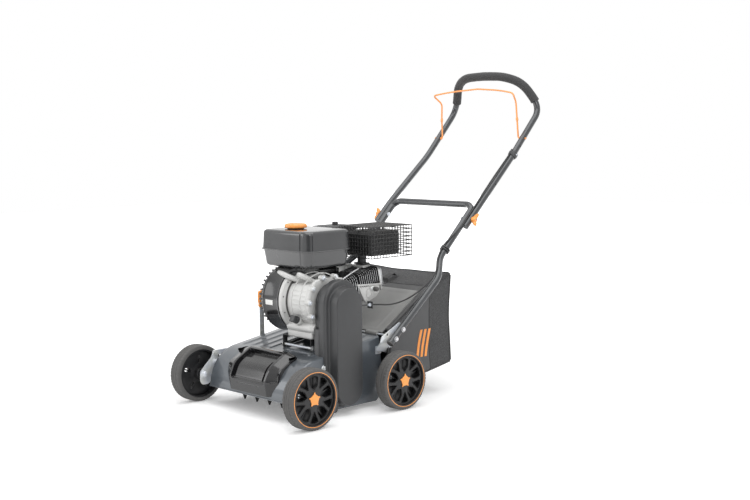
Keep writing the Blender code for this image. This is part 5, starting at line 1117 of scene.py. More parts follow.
link = [(0.129, 0.262, 0.3985), (0.13, 0.285, 0.409), (0.13, 0.312, 0.42), (0.129, 0.33, 0.426)]
piece("governor_rod", STEEL, pipe(curve_through([spot(*p) for p in link]), 0.0021, 10))

# %% [markdown]
# The silencer is a welded black box with three louvres on its near side. Round it sits a
# guard of square wire mesh, made by giving a grid's edges thickness.

# %% Silencer and mesh guard
box = block((0.012, 0.378, 0.4585), (0.138, 0.508, 0.537), 0.013, 5)
seam = slab(rounded(rectangle(0.3765, 0.5095, 0.457, 0.5385), 0.014), 0.072, 0.0755, 0.001)
collar = slab(rounded(rectangle(0.046, 0.094, 0.384, 0.416), 0.008, 4), 0.4303, 0.4355, axis="Z")
louvres = [block((0.137, 0.446, z), (0.14, 0.494, z + 0.0045), 0.0014, 2) for z in (0.474, 0.488, 0.502)]
posts = [rod((0.076, s, 0.534), (0.076, s, 0.5515), 0.003, 12) for s in (0.4, 0.49)]
piece("silencer", HEAT_BLACK, box, seam, rod((0.07, 0.4, 0.4305), (0.07, 0.4, 0.47), 0.014, 32), collar,
      *louvres,
      *posts, cad="muffler", sharp=40)
GUARD = ((0.0015, 0.3665, 0.4542), (0.1505, 0.5455, 0.5518))
low, high = (spot(*place) for place in GUARD)
net = cube((1, 1, 1), Matrix.Identity(4))
bmesh.ops.delete(net, geom=[f for f in net.faces if f.normal.z < -0.5], context="FACES_ONLY")
for axis, count in enumerate((12, 14, 8)):
    lines = [e for e in net.edges if abs(e.verts[0].co[axis] - e.verts[1].co[axis]) > 0.9]
    bmesh.ops.subdivide_edges(net, edges=lines, cuts=count - 1, use_grid_fill=True)
for v in net.verts:
    v.co = (low + high) / 2 + v.co * (high - low)
wires = piece("wire_mesh", GUARD_BLACK, net, cad="muffler_guard").modifiers.new("wires", "WIREFRAME")
wires.thickness, wires.offset, wires.use_boundary, wires.use_replace = 0.0029, 0.0, True, True
edge = rounded(rectangle(GUARD[0][0], GUARD[1][0], GUARD[0][1], GUARD[1][1]), 0.004, 3)
piece("guard_frame", GUARD_BLACK, *[pipe([spot(*p, z) for p in edge], 0.0014, 8, closed=True)
                                    for z in (GUARD[0][2], GUARD[1][2])])

# %% [markdown]
# ## Tank
# The tank is two pressed halves that meet in a thin flange. The near front corner has an
# upright channel for a stay. Its surface is glossy black and carries no marks.

# %% Tank halves
TANK = ((-0.125, 0.1), (0.146, 0.33))
TANK_CORNER = 0.02

def tank_ring(inset, height):
    (x0, x1), (y0, y1) = TANK
    turns = [radians(11.25 * k) for k in range(9)]
    channel = [(x1 - 0.0345 + 0.0317 * sin(a), y0 + 0.0215 - 0.0187 * cos(a)) for a in turns]
    loop = [(x0, y0), (x1 - 0.0375, y0), *channel, (x1, y0 + 0.024), (x1, y1), (x0, y1)]
    radii = [TANK_CORNER, 0.0015] + [0.001] * len(turns) + [0.0015, TANK_CORNER, TANK_CORNER]
    soft = []
    for i, (point, radius) in enumerate(zip(loop, radii)):
        soft += corner(loop[i - 1], point, loop[(i + 1) % len(loop)], radius, 6)
    middle, size = ((x0 + x1) / 2, (y0 + y1) / 2), (x1 - x0, y1 - y0)
    return [spot(*(m + (v - m) * (1 - inset * 2 / s) for v, m, s in zip(point, middle, size)), height)
            for point in soft]

def roll(inset, height, radius, way):
    """A quarter round at the end of a half's wall, as (inset, height)."""
    turns = (radians(90 * k / 7) for k in range(1, 8))
    return [(inset + radius * (1 - cos(turn)), height + way * radius * sin(turn)) for turn in turns]

upper = [(0, 0.4896), (0.0002, 0.492), (0.0012, 0.51), (0.0022, 0.537), *roll(0.0022, 0.537, 0.0115, 1),
         (0.022, 0.5494), (0.04, 0.55)]
lower = [(0.0025, 0.4854), (0.003, 0.48), (0.006, 0.458), (0.0075, 0.445), *roll(0.0075, 0.445, 0.012, -1),
         (0.024, 0.4324)]
lip = [(0.002, 0.4898), (-0.0024, 0.4896), (-0.003, 0.489), (-0.003, 0.486), (-0.0024, 0.4854),
       (0.002, 0.4852)]
shapes = []
for levels in (upper, lower, lip):
    rings = [tank_ring(*level) for level in levels]
    shapes.append(skin(rings, wrap=True))
    if levels is not lip:
        shapes[-1].faces.new(shapes[-1].verts[:][-len(rings[0]):])
neck = solid([(0.549, 0.0275), (0.551, 0.027), (0.5528, 0.0245)], spot(-0.03, 0.212, 0), (0, 0, 1), 48)
piece("tank_shell", TANK_PAINT, *shapes, neck, cad="fuel_tank", sharp=42)

# %% [markdown]
# The cap has a soft lobed rim for the fingers and a shallow dish on top.

# %% Lobed cap
CAP = ((0, 0.0001, 0), (0, 0.0335, 0.4), (0.0012, 0.0349, 1), (0.006, 0.0349, 1), (0.0098, 0.0338, 1),
       (0.012, 0.031, 0.7), (0.0128, 0.027, 0.3), (0.0118, 0.0235, 0), (0.0112, 0.018, 0), (0.0116, 0.01, 0),
       (0.0118, 0.0001, 0))
rows = []
for turn in (tau * step / 120 for step in range(121)):
    row = []
    for height, radius, share in CAP:
        radius += 0.0011 * cos(10 * turn) * share
        row.append(spot(-0.03, 0.212, 0.5533 + height) + Vector((radius * cos(turn), radius * sin(turn), 0)))
    rows.append(row)
piece("lobed_cap", ORANGE, skin(rows), body="tank_cap", cad="fuel_cap", sharp=60)

# %% [markdown]
# The air cleaner stands behind the tank: a ribbed body under a lid with a round nut.

# %% Air cleaner
shapes = [block((-0.1035, 0.3465, 0.452), (-0.0165, 0.4535, 0.528), 0.009, 4),
          block((-0.108, 0.342, 0.5245), (-0.012, 0.458, 0.5475), 0.0075, 4),
          block((-0.094, 0.356, 0.545), (-0.026, 0.444, 0.5488), 0.0028, 3)]
shapes += [block((x, 0.344, 0.46), (x + 0.003, 0.456, 0.524), 0.001, 1)
           for x in (-0.09, -0.0745, -0.059, -0.0435, -0.029)]
shapes.append(solid([(0.548, 0.0085), (0.55, 0.009), (0.557, 0.0088), (0.5588, 0.0072)],
                    spot(-0.06, 0.404, 0), (0, 0, 1), 32))
for at in (polar(0.0088, 360 * k / 14, (-0.06, 0.404)) for k in range(14)):
    shapes.append(rod((*at, 0.5495), (*at, 0.5575), 0.0009, 8, 0.0003))
piece("air_box", SATIN_BLACK, *shapes, cad="air_cleaner", sharp=40)

# %% [markdown]
# ## Stand, axles and controls
# A folded stand carries the engine over the sloping deck. A zinc tie rod braces it.

# %% Engine stand
def stand_side(low_x, high_x):
    foot = deck_top(0.145, 0.0006), deck_top(0.3, 0.0006)
    outline = [(0.145, foot[0]), (0.3, foot[1]), (0.3, 0.2256), (0.145, 0.2256)]
    window = [(0.163, 0.1985), (0.178, 0.1985), (0.222, 0.208), (0.222, 0.2165), (0.163, 0.2165)]
    return slab(rounded(outline, 0.002, 3), low_x, high_x, 0.0007, [rounded(window, 0.0035, 4)])

top = slab(rounded(rectangle(-0.022, 0.112, 0.145, 0.3), 0.003, 3), 0.2236, 0.2262,
           holes=[ring_of((0.045, 0.222), 0.028, 40)], axis="Z")
deck = deck_top(0.15)
feet = [block((x, 0.15, deck + 0.0008), (x + 0.014, 0.166, deck + 0.0032), 0.0006, 2)
        for x in (-0.0195, 0.0955)]
piece("engine_stand", SATIN_BLACK, stand_side(-0.022, -0.0194), stand_side(0.1094, 0.112), top, *feet,
      cad="engine_bracket", sharp=40)
tie = (0.153, deck_top(0.153) + 0.0085)
piece("stand_rod", ZINC, rod((-0.0215, *tie), (0.1115, *tie), 0.0042),
      *[bolt((x, *tie), (way, 0, 0), 0.0062, 0.0048) for x, way in ((0.1122, 1), (-0.0222, -1))])

# %% [markdown]
# The front axle swings on a rod between two pressed arms. The rear axle is a plain rod.

# %% Axles and the lever's link
PIVOT = (0.045, 0.125)
ARM = [(-0.014, 0.1), (0.03, 0.14), (0.056, 0.14), (0.06, 0.115), (0.018, 0.056), (-0.008, 0.056),
       (-0.016, 0.072)]
EAR = ARM[:2] + [(0.037, 0.162), (0.053, 0.162)] + ARM[3:]
arms = [rod((-0.2425, *PIVOT), (0.2425, *PIVOT), 0.008, 32)]
for side, shape in ((1, ARM), (-1, EAR)):
    arms += [slab(rounded(shape, 0.007), side * 0.2385, side * 0.2425, 0.001),
             rod((side * 0.2325, 0, 0.09), (side * 0.2865, 0, 0.09), 0.006),
             bolt((side * 0.2425, *PIVOT), (side, 0, 0), 0.0075, 0.006)]
arms.append(rod((-0.2295, 0.045, 0.155), (-0.2395, 0.045, 0.155), 0.003, 20))
piece("front_arms", ZINC, *arms, body="front_axle_arms", cad="front_axle", sharp=40)
piece("rear_rod", ZINC, rod((-0.2865, 0.367, 0.09), (0.2865, 0.367, 0.09), 0.006, 32), cad="rear_axle")
ends = (0.045, 0.155), (0.221, 0.155)
strap = arc(ends[0], 0.008, 90, 270, 16) + arc(ends[1], 0.008, -90, 90, 16)
piece("lever_link", ZINC, slab(strap, -0.2345, -0.2305, holes=[ring_of(p, 0.0034, 20) for p in ends]),
      body="height_link", cad="depth_link", sharp=40)

# %% [markdown]
# The carburettor is a small casting with a bowl under it. Its two levers stand on its
# outer side.

# %% Carburettor and its levers
bowl = solid([(0, 0.0125), (0.002, 0.015), (0.012, 0.0155), (0.0135, 0.017), (0.0165, 0.017)],
             spot(-0.018, 0.404, 0.3815), (0, 0, 1), 40)
flange = slab(rounded(rectangle(0.3845, 0.4235, 0.379, 0.4245), 0.01), 0.0075, 0.0225, 0.0012)
elbow = solid([(0, 0.0148), (0.022, 0.014), (0.03, 0.014), (0.031, 0.015), (0.0345, 0.015)],
              spot(-0.032, 0.404, 0.417), (0, 0, 1), 36)
tops = [bolt((x, s, 0.4235), (0, 0, 1), 0.0026, 0.0022, 1.3) for x in (-0.01, 0.002) for s in (0.392, 0.416)]
piece("carburettor_casting", CAST, block((-0.047, 0.388, 0.394), (0.01, 0.42, 0.4235), 0.004), bowl, flange,
      elbow,
      bolt((-0.018, 0.404, 0.3815), (0, 0, -1), 0.0042, 0.0034, 1.3), *tops, cad="carburettor", sharp=40)
for name, pivot, tip in (("choke", (0.392, 0.416), (0.36, 0.419)),
                         ("throttle", (0.416, 0.402), (0.446, 0.41))):
    lean = degrees(atan2(tip[1] - pivot[1], tip[0] - pivot[0]))
    outline = arc(pivot, 0.006, lean + 90, lean + 270, 14) + arc(tip, 0.004, lean - 90, lean + 90, 12)
    piece(f"{name}_arm", ZINC, slab(outline, -0.0513, -0.0483, 0.0007),
          rod((-0.0505, *tip), (-0.056, *tip), 0.0024, 16),
          bolt((-0.0513, *pivot), (-1, 0, 0), 0.0032, 0.0022, 1.3), body=name, cad=f"{name}_lever", sharp=40)

# %% [markdown]
# The switch is a round dial with a bar across it. The starter's grip is a waisted handle
# on a short stem.

# %% Switch and starter grip
dial = solid([(0, 0.0112), (0.0008, 0.012), (0.009, 0.0116), (0.011, 0.01), (0.0117, 0.0085)],
             spot(-0.0463, 0.318, 0.372), (-1, 0, 0), 40)
piece("switch_dial", SATIN_BLACK, dial, block((-0.064, 0.3066, 0.3688), (-0.056, 0.3294, 0.3752), 0.0016),
      body="switch", cad="engine_switch", sharp=45)
bar, radii = [], []
for t in (k / 24 for k in range(25)):
    bar.append(spot(-0.0973 + 0.048 * t, 0.3139, 0.343))
    radii.append(0.0074 * (1 - 0.45 * abs(2 * t - 1) ** 9) - 0.001 * cos(pi * (2 * t - 1) / 2) ** 4)
stem = [spot(-0.0733, 0.2968 + 0.0171 * k / 12, 0.3418 + 0.0012 * k / 12) for k in range(13)]
piece("starter_handle", SATIN_BLACK, pipe(bar, radii, 24), pipe(stem, [0.0066, 0.0054] * 6 + [0.0066], 20),
      body="starter_grip", cad="recoil_grip", sharp=50)

# %% [markdown]
# ## Handles
# Each handle is one tube, bent cold and powder coated. Its centre line is drawn for the
# left half and mirrored. The corners are bent over large rollers, so no kink shows.

# %% Centre lines of both handles
TUBE = 0.011
LEG_FOOT, LEG_LOW, LEG_HIGH = (0.2305, 0.366, 0.197), (0.1858, 0.64, 0.44), (0.1858, 0.795, 0.59)
LEG_SLOPE = 0.15 / 0.155
CLAMP = (0.762, 0.44 + (0.762 - 0.64) * LEG_SLOPE)
KNEE = (0.2084, 0.802, CLAMP[1] + 0.04 * LEG_SLOPE)
MIDDLE, TOP = (0.198, 0.985, 0.757), (0.198, 1.143, 0.925)
BAR_END, BAR_MIDDLE = (0.1638, 0.805, 0.603), (0, 0.805, 0.603)

def mirrored(points):
    return points + [Vector((-p.x, p.y, p.z)) for p in points[-2::-1]]

def bent(corners, trims, steps):
    """A mirrored tube line, bent at its corners."""
    return mirrored(bend([spot(*c) for c in corners], trims, steps))

def between(a, b, station):
    t = (station - a[1]) / (b[1] - a[1])
    return spot(*[p + (q - p) * t for p, q in zip(a, b)])

def above(a, b, station, lift):
    run = spot(*b) - spot(*a)
    return between(a, b, station) + Vector((0, -run.z, run.y)).normalized() * lift

low_line = bent([LEG_FOOT, (0.2305, 0.585, 0.382), LEG_LOW, LEG_HIGH, BAR_END, BAR_MIDDLE],
                (0.022, 0.022, 0.01, 0.01), 8)
top_line = bent([(0.2084, 0.738, CLAMP[1] - 0.024 * LEG_SLOPE), KNEE, MIDDLE, TOP, (0.15, 1.1, 1.015),
                 (0.085, 1.07, 1.037), (0, 1.068, 1.04)], (0.03, 0.03, 0.048, 0.04, 0.028), 10)

# %% [markdown]
# The tube's ends are closed by black caps. Small holes are punched through the legs for
# shorter settings; each is a shallow near-black cup on the tube's side, painted shade for
# the hole's dark inside.

# %% Tubes, caps and punched holes
cap = [(-0.0026, 0.0092), (-0.0018, 0.0109), (0.0012, 0.0113), (0.0016, 0.011)]
caps = [solid(cap, spot(side * 0.2305, *LEG_FOOT[1:]), (0, 0.219, 0.185), 32) for side in (1, -1)]
piece("lower_tube", ENAMEL, pipe(low_line, TUBE, 32), cad="lower_handle", sharp=50)
piece("upper_tube", ENAMEL, pipe(top_line, TUBE, 32), body="folding_handle", cad="upper_handle", sharp=50)
piece("foot_caps", RUBBER, *caps)
holes = []
for place in (between(KNEE, MIDDLE, 0.8845), between(MIDDLE, TOP, 1.02)):
    for side in (1, -1):
        for way in (1, -1):
            at = Vector((side * (place.x + way * (TUBE - 0.001)), place.y, place.z))
            holes.append(solid([(0, 0.003), (0.00125, 0.0027)], at, (side * way, 0, 0), 24))
piece("punched_holes", HOLE_SHADE, *holes, body="folding_handle")
# The crossbar's holes are near-black cups as well: painted shade for their insides.
piece("crossbar_holes", HOLE_SHADE, *[solid([(0, 0.0026), (0.0012, 0.0023)], spot(x, 0.805, 0.603 - TUBE + 0.001),
                                        (0, 0, -1), 20) for x in (0.12, -0.12)])

# %% [markdown]
# The foam sleeve is pushed on wet and swells a little where the tube bends. Its ends
# are cut square and flare out slightly.

# %% Foam grip
def square_end(end, inner):
    step = (inner - end).normalized() * 0.0004
    return [end, end + step, end + step * 3]

dense = curve_through([p for p in top_line if p.z > 0.946], 2)
radii = [0.01525 + 0.00018 * sin(p.x * 61) + 0.00014 * sin(p.x * 143 + p.z * 80) for p in dense[1:-1]]
for i in (0, -1):
    radii[i] += 0.0003
path = square_end(*dense[:2]) + dense[1:-1] + square_end(*dense[:-3:-1])[::-1]
radii = [0.0144, 0.015, 0.0155] + radii + [0.0155, 0.015, 0.0144]
piece("foam_sleeve", FOAM, pipe(path, radii, 32), body="folding_handle", cad="foam_grip", sharp=50)

# %% [markdown]
# The clutch bail is one spring wire in orange plastic. Its ends pass through the legs and
# are held by small push-on caps. Short crimped collars sit halfway up each side.

# %% Bail wire
pivot = between(MIDDLE, TOP, 1.045)
at_pivot = (pivot.y - FRONT_Y, pivot.z)
wire = bent([(0.213, *at_pivot), (0.179, *at_pivot), (0.177, 1.04, 0.893), (0.174, 1.038, 0.946),
             (0.187, 1.005, 0.976), (0.115, 1.02, 0.987), (0, 1.038, 0.995)],
            (0.008, 0.02, 0.012, 0.014, 0.03), 8)
end_cap = [(0, 0.0052), (0.0024, 0.0056), (0.0036, 0.004)]
inner_cap = [(0, 0.0048), (0.0022, 0.005), (0.003, 0.0034)]
collar = [(-0.007, 0.0028), (-0.005, 0.0042), (-0.001, 0.0046), (0.001, 0.0046), (0.005, 0.0042),
          (0.007, 0.0028)]
extras = [solid(end_cap, spot(-0.21, *at_pivot), (-1, 0, 0), 24)]
for side in (1, -1):
    a, b = spot(side * 0.177, 1.04, 0.893), spot(side * 0.174, 1.038, 0.946)
    run = (b - a).normalized()
    extras += [solid(inner_cap, spot(side * 0.1862, *at_pivot), (-side, 0, 0), 24),
               turned(collar, a - run * 0.006, run, 20)]
piece("bail_wire", ORANGE_WIRE, pipe(wire, 0.003), *extras, body="bail", cad="bail_lever", sharp=50)

# %% [markdown]
# A wing knob on each side clamps the two handles together. Its wings flare out from the
# hub, and a bright nut is moulded into its middle.

# %% Wing knobs
FACE = 0.2084 + TUBE + 0.0003
lean = radians(69)
along, over = Vector((0, cos(lean), sin(lean))), Vector((0, -sin(lean), cos(lean)))

def wing(centre, out, way):
    rings = []
    for t in (k / 8 for k in range(9)):
        middle = centre + out * (0.0075 + 0.01 * t ** 1.2) + along * (way * (0.004 + 0.0168 * t))
        half_out = 0.0065 + 0.0022 * sin(pi * min(1.0, t * 1.15)) - 0.0035 * t ** 4
        half_over = 0.0052 - 0.0014 * t - 0.0012 * t ** 4
        ring = []
        for q in range(20):
            c, s = squarish(tau * q / 20, 0.75)
            ring.append(middle + out * (half_out * c) + over * (half_over * s))
        rings.append(ring)
    return closed_skin(rings)

for side, hand in ((1, "left"), (-1, "right")):
    out, centre = Vector((side, 0, 0)), spot(side * FACE, *CLAMP)
    hub = solid([(0, 0.0088), (0.0008, 0.0095), (0.0085, 0.0092), (0.013, 0.0082), (0.0158, 0.006),
                 (0.016, 0.0036),
                 (0.012, 0.0034)], centre, out, 40)
    piece(f"wing_knob_{hand}", ORANGE, hub, wing(centre, out, 1), wing(centre, out, -1), body=f"knob_{hand}",
          cad=f"clamp_knob_{hand}", sharp=50)
    nut = hoop([(0, 0.0031), (0, 0.0052), (0.0028, 0.0052), (0.0032, 0.0046), (0.0032, 0.0031)],
               spot(side * (FACE + 0.0112), *CLAMP), out, 6)
    piece(f"clamp_bolt_{hand}", ZINC,
          rod((side * 0.1745, *CLAMP), (side * (FACE + 0.0125), *CLAMP), 0.003, 20),
          bolt((side * 0.1747, *CLAMP), -out, 0.0062, 0.0046, 1.25), nut, body=f"knob_{hand}")

# %% [markdown]
# Pressed zinc brackets join the legs to the deck. The wing's lower edge is bent outward,
# and a small foot turns in to the deck's side. Two bolts hold each leg.

# %% Leg brackets
WING = rounded([(0.328, 0.177), (0.337, 0.207), (0.342, 0.22), (0.42, 0.257), (0.433, 0.247), (0.399, 0.198),
                (0.401, 0.183), (0.384, 0.163)], 0.004, 4)
LEG_BOLTS = [(s, 0.197 + (s - 0.366) * 0.185 / 0.219) for s in (0.382, 0.413)]
for side, hand, deck in ((1, "left", DECK_LEFT), (-1, "right", DECK_RIGHT)):
    plate = slab(WING, side * 0.2157, side * 0.219, 0.0007, [ring_of((0.3665, 0.2235), 0.0037, 24)])
    for height in (0.201, 0.199):
        bmesh.ops.bisect_plane(plate, geom=plate.verts[:] + plate.edges[:] + plate.faces[:], dist=1e-6,
                               plane_co=(0, 0, height), plane_no=(0, 0, 1))
    for v in plate.verts:
        v.co.x -= side * max(0.0, 0.201 - v.co.z) * 0.6
    near = deck + side * 0.0003
    (shelf_low, shelf_high), (low, high) = sorted((near, side * 0.204)), sorted((near, near + side * 0.0035))
    piece(f"leg_bracket_{hand}", ZINC, plate,
          block((shelf_low, 0.34, 0.184), (shelf_high, 0.364, 0.1872), 0.0008, 2),
          block((low, 0.34, 0.1625), (high, 0.364, 0.1865), 0.001, 2), cad=f"handle_bracket_{hand}", sharp=35)
    out, inward = (side, 0, 0), (-side, 0, 0)
    screws = [bolt((near + side * 0.0034, 0.352, 0.1715), out, 0.0042, 0.004, 1.35)]
    for at in LEG_BOLTS:
        screws += [rod((side * 0.215, *at), (side * 0.247, *at), 0.003, 16),
                   bolt((side * 0.2417, *at), out, 0.0064, 0.0052, 1.3),
                   bolt((side * 0.2157, *at), inward, 0.0052, 0.0036, 1.3)]
    piece(f"leg_bolts_{hand}", STEEL, *screws)

# %% [markdown]
# The clutch cable runs from the bail's anchor down the left leg, bends over the fold,
# passes through a clip and hangs in a shallow bow to its stop behind the belt cover.

# %% Clutch cable and its holders
LIFT = 0.0143
joint, over_fold = spot(0.2084, CLAMP[0] - LIFT * 0.695,
                        CLAMP[1] + LIFT * 0.719), Vector((0, 0.695, 0.719)) * 0.0002
upper_route = [above(MIDDLE, TOP, 0.9887, LIFT)]
upper_route += [above(KNEE, MIDDLE, s, LIFT + more)
                for s, more in ((0.95, 0.0012), (0.9, 0.0022), (0.85, 0.0016), (0.808, 0))]
lower_route = [joint - over_fold] + [spot(*p) for p in (
    (0.2074, 0.728, 0.5457), (0.2, 0.705, 0.52), (0.1925, 0.688, 0.5045), (0.186, 0.6535, 0.4745),
    (0.196, 0.62, 0.44), (0.215, 0.595, 0.412), (0.2262, 0.563, 0.384), (0.22, 0.525, 0.356),
    (0.209, 0.49, 0.333), (0.199, 0.45, 0.3175), (0.189, 0.41, 0.311), (0.174, 0.378, 0.3125),
    (0.1655, 0.36, 0.3138), (0.165, 0.353, 0.314))]
piece("cable_above", CABLE_BLACK, pipe(curve_through(upper_route + [joint + over_fold], 8), 0.0025, 14),
      body="folding_handle", cad="clutch_cable_upper", sharp=60)
piece("cable_below", CABLE_BLACK, pipe(curve_through(lower_route), 0.0025, 14), cad="clutch_cable_lower",
      sharp=60)
anchor = between(MIDDLE, TOP, 0.9935)
cuff = hoop([(-0.011, 0.0113), (-0.011, 0.0135), (-0.006, 0.016), (0.005, 0.0166), (0.0066, 0.015),
             (0.0066, 0.0113)],
            anchor, spot(*TOP) - spot(*MIDDLE), 40)
piece("cable_anchor", SATIN_BLACK, cuff,
      rod(above(MIDDLE, TOP, 0.987, LIFT), above(MIDDLE, TOP, 1.001, LIFT), 0.0044, 24, 0.001),
      body="folding_handle", sharp=45)
nipple = rod(above(MIDDLE, TOP, 0.996, -0.0138), above(MIDDLE, TOP, 1.001, -0.0138), 0.0028, 20)
piece("anchor_screw", ZINC, nipple, bolt(anchor + Vector((0.0152, 0, 0)), (1, 0, 0), 0.003, 0.003),
      body="folding_handle")
run = Vector((0, 0.155, 0.15)).normalized()
clip, hook = between(LEG_LOW, LEG_HIGH, 0.664), spot(0.186, 0.6535, 0.4745)
rings = [hoop([(s - 0.0026, 0.0113), (s - 0.0026, 0.0148), (s - 0.0016, 0.0163), (s + 0.0016, 0.0163),
               (s + 0.0026, 0.0148), (s + 0.0026, 0.0113)], clip, run, 40) for s in (-0.0036, 0.0036)]
piece("cable_clip", SATIN_BLACK, *rings, rod(hook - run * 0.005, hook + run * 0.005, 0.0042, 24, 0.0008),
      sharp=45)

# %% [markdown]
# ## Rear flap
# The flap is a stiff grey moulding on a bright hinge rod. Its edges turn down a little,
# and shallow stiffening fields are pressed into it near its sides.

# %% Flap and hinge
LEAN, HINGE = radians(33), (0.365, 0.222)
ALONG, OVER = Vector((0, cos(LEAN), sin(LEAN))), Vector((0, -sin(LEAN), cos(LEAN)))

half = [0.05, 0.1, 0.145, 0.152, 0.1545, 0.165, 0.1775, 0.18, 0.1835, 0.1858, 0.1868, 0.187]
rows = []
for s in (0.008 + 0.206 * k / 60 for k in range(61)):
    row = []
    for x in [-x for x in reversed(half)] + [0.0] + half:
        field = bell(s, 0.02, 0.024, 0.196, 0.2) * (1 - soft_step(abs(x), 0.152, 0.1545))
        crown = 0.0002 * cos(x * 21) + 0.00015 * sin(s * 50 + x * 9)
        edge = soft_step(abs(x), 0.1835, 0.187) * 0.0008 + soft_step(s, 0.211, 0.214) * 0.0007
        row.append(spot(x, *HINGE) + ALONG * s + OVER * (0.0019 - 0.0007 * field + crown * 0.5 - edge))
    rows.append(row)
under = [[p - OVER * 0.0036 for p in row] for row in rows]
sides = [skin(pair) for pair in ((rows[0], under[0]), (rows[-1], under[-1]),
                                 *[([r[i] for r in rows], [r[i] for r in under]) for i in (0, -1)])]
ear = [(HINGE[0] + s * cos(LEAN) - t * sin(LEAN), HINGE[1] + s * sin(LEAN) + t * cos(LEAN))
       for s, t in ((0.0045, -0.0019), (0.012, -0.0019), (0.012, 0.0021), (0.0045, 0.0044))]
barrels = []
for x in (-0.15, 0.0, 0.15):
    barrels += [hoop([(x - 0.025, 0.0033), (x - 0.025, 0.0059), (x - 0.0244, 0.0065), (x + 0.0244, 0.0065),
                      (x + 0.025, 0.0059), (x + 0.025, 0.0033)], spot(0, *HINGE), steps=32),
                slab(ear, x - 0.0245, x + 0.0245, 0.0006)]
piece("flap_lid", FLAP_GREY, skin(rows), skin(under), *sides, *barrels, body="flap", cad="rear_flap",
      sharp=40)
piece("hinge_pin", ZINC, rod((-0.215, *HINGE), (0.215, *HINGE), 0.003, 20), cad="flap_hinge_rod")

# %% [markdown]
# ## Grass bag
# The bag is sewn from two cloths: a coated front part, and an open mesh behind it that
# lets the air out. A wire frame holds its mouth open. Between the seams the cloth sags
# in, so every wall is a soft curve. It is lofted through rings from the mouth rearward.

# %% The bag's cloths
CLOTH = finish("coated_bag_cloth", "bag_cloth", (0.072, 0.073, 0.075), 0.6, grain=420, relief=0.15, tone=0.14,
               dust=0.1, scuffs=0.2)
MESH_CLOTH = finish("mesh_bag_cloth", "bag_cloth", (0.1, 0.101, 0.104), 0.78, grain=300, relief=0.2,
                    tone=0.16,
                    dust=0.1, scuffs=0.1)
BINDING = finish("bag_binding", "bag_cloth", (0.03, 0.03, 0.031), 0.7, relief=0.4, tone=0.12)
for cloth, pitch, strength in ((CLOTH, 1500.0, 0.12), (MESH_CLOTH, 2100.0, 0.45), (BINDING, 2200.0, 0.35)):
    tree = cloth.node_tree
    place = coordinates(tree)
    threads = node(tree, "Mapping", {0: place, "Scale": (pitch, pitch, pitch)}).outputs[0]
    waves = [maths(tree, "SINE", way, 0.0) for way in node(tree, "SeparateXYZ", {0: threads}).outputs]
    weave = times(tree, maths(tree, "ADD", waves[0], waves[1]), waves[2])
    shader = tree.nodes["Principled BSDF"]
    before, colour = (shader.inputs[key].links[0].from_socket for key in ("Normal", "Base Color"))
    feed(tree, shader, {"Normal": bump(tree, strength, 0.0004, weave, before), "Sheen Weight": 0.1,
                        "Sheen Roughness": 0.5})
    # The weave is the cloth's own pattern; the near black in its openings is painted shade from the bag's
    # dark inside, made patchy by noise.
    if cloth is MESH_CLOTH:
        uneven = fit(tree, noise(tree, place, 210.0, 3.0), 0.35, 0.62, 0.25, 1.0)
        opening_shade = times(tree, fit(tree, weave, -0.3, 0.4), uneven)
        feed(tree, shader, {"Base Color": blend(tree, opening_shade, (0.03, 0.03, 0.031, 1), colour)})

# %% [markdown]
# The floor and the roof of the bag are lines from the front to the back. The roof lies
# just under the flap and then rounds off to the rear.

# %% The bag's corner lines
HALF, MOUTH, SEAM, REAR = 0.205, 0.386, 0.576, 0.668

def under_flap(station, drop=0.0023):
    return HINGE[1] - drop / cos(LEAN) + (station - HINGE[0]) * tan(LEAN)

def bag_floor(station):
    if station < 0.53:
        return 0.08 - 0.008 * (station - MOUTH) / 0.144
    return 0.072 + 0.024 * ((station - 0.53) / 0.146) ** 1.1

def bag_roof(station):
    if station < 0.545:
        return under_flap(station)
    last = under_flap(0.545)
    return last + (0.392 - last) * ((station - 0.545) / 0.131) ** 0.86

def wall_at(station, t, way, half):
    """The side cloth sinks in and creases a little; t runs from its floor to its roof."""
    loose = soft_step(station, MOUTH, 0.44)
    crease = 0.0016 * sin(t * 9 + station * 31 + way) * sin(pi * t) * loose
    return way * (half - 0.0085 * loose * sin(pi * t) ** 0.8 - crease)

def bag_ring(station, inset=0.0):
    """One ring of the bag, from the middle of its floor round and back."""
    low, high, half = bag_floor(station) + inset, bag_roof(station) - inset, HALF - inset
    loose = soft_step(station, MOUTH, 0.44)

    def side(t, way):
        return spot(wall_at(station, t, way, half), station, low + (high - low) * t)

    def flat(u, level, pull, way):
        """u runs from -1 to 1 across the bag."""
        ripple = 0.001 * sin(u * 7 + station * 43) * (1 - u * u) * loose
        return spot(u * (half - 0.01), station, level + way * (pull * (1 - abs(u) ** 2.2) + ripple))

    across = [-1 + 2 * k / 18 for k in range(19)]
    upright = [0.03 + 0.94 * k / 16 for k in range(17)]
    return ([flat(u, low, 0.005 * loose, 1) for u in across] + [side(t, 1) for t in upright]
            + [flat(-u, high, 0.006 * soft_step(station, 0.56, 0.62), -1) for u in across]
            + [side(t, -1) for t in reversed(upright)])

# %% [markdown]
# The front cloth runs from the mouth to the seam. The mesh cloth goes on from there, and
# its rear wall is made of rings that shrink towards their middle.

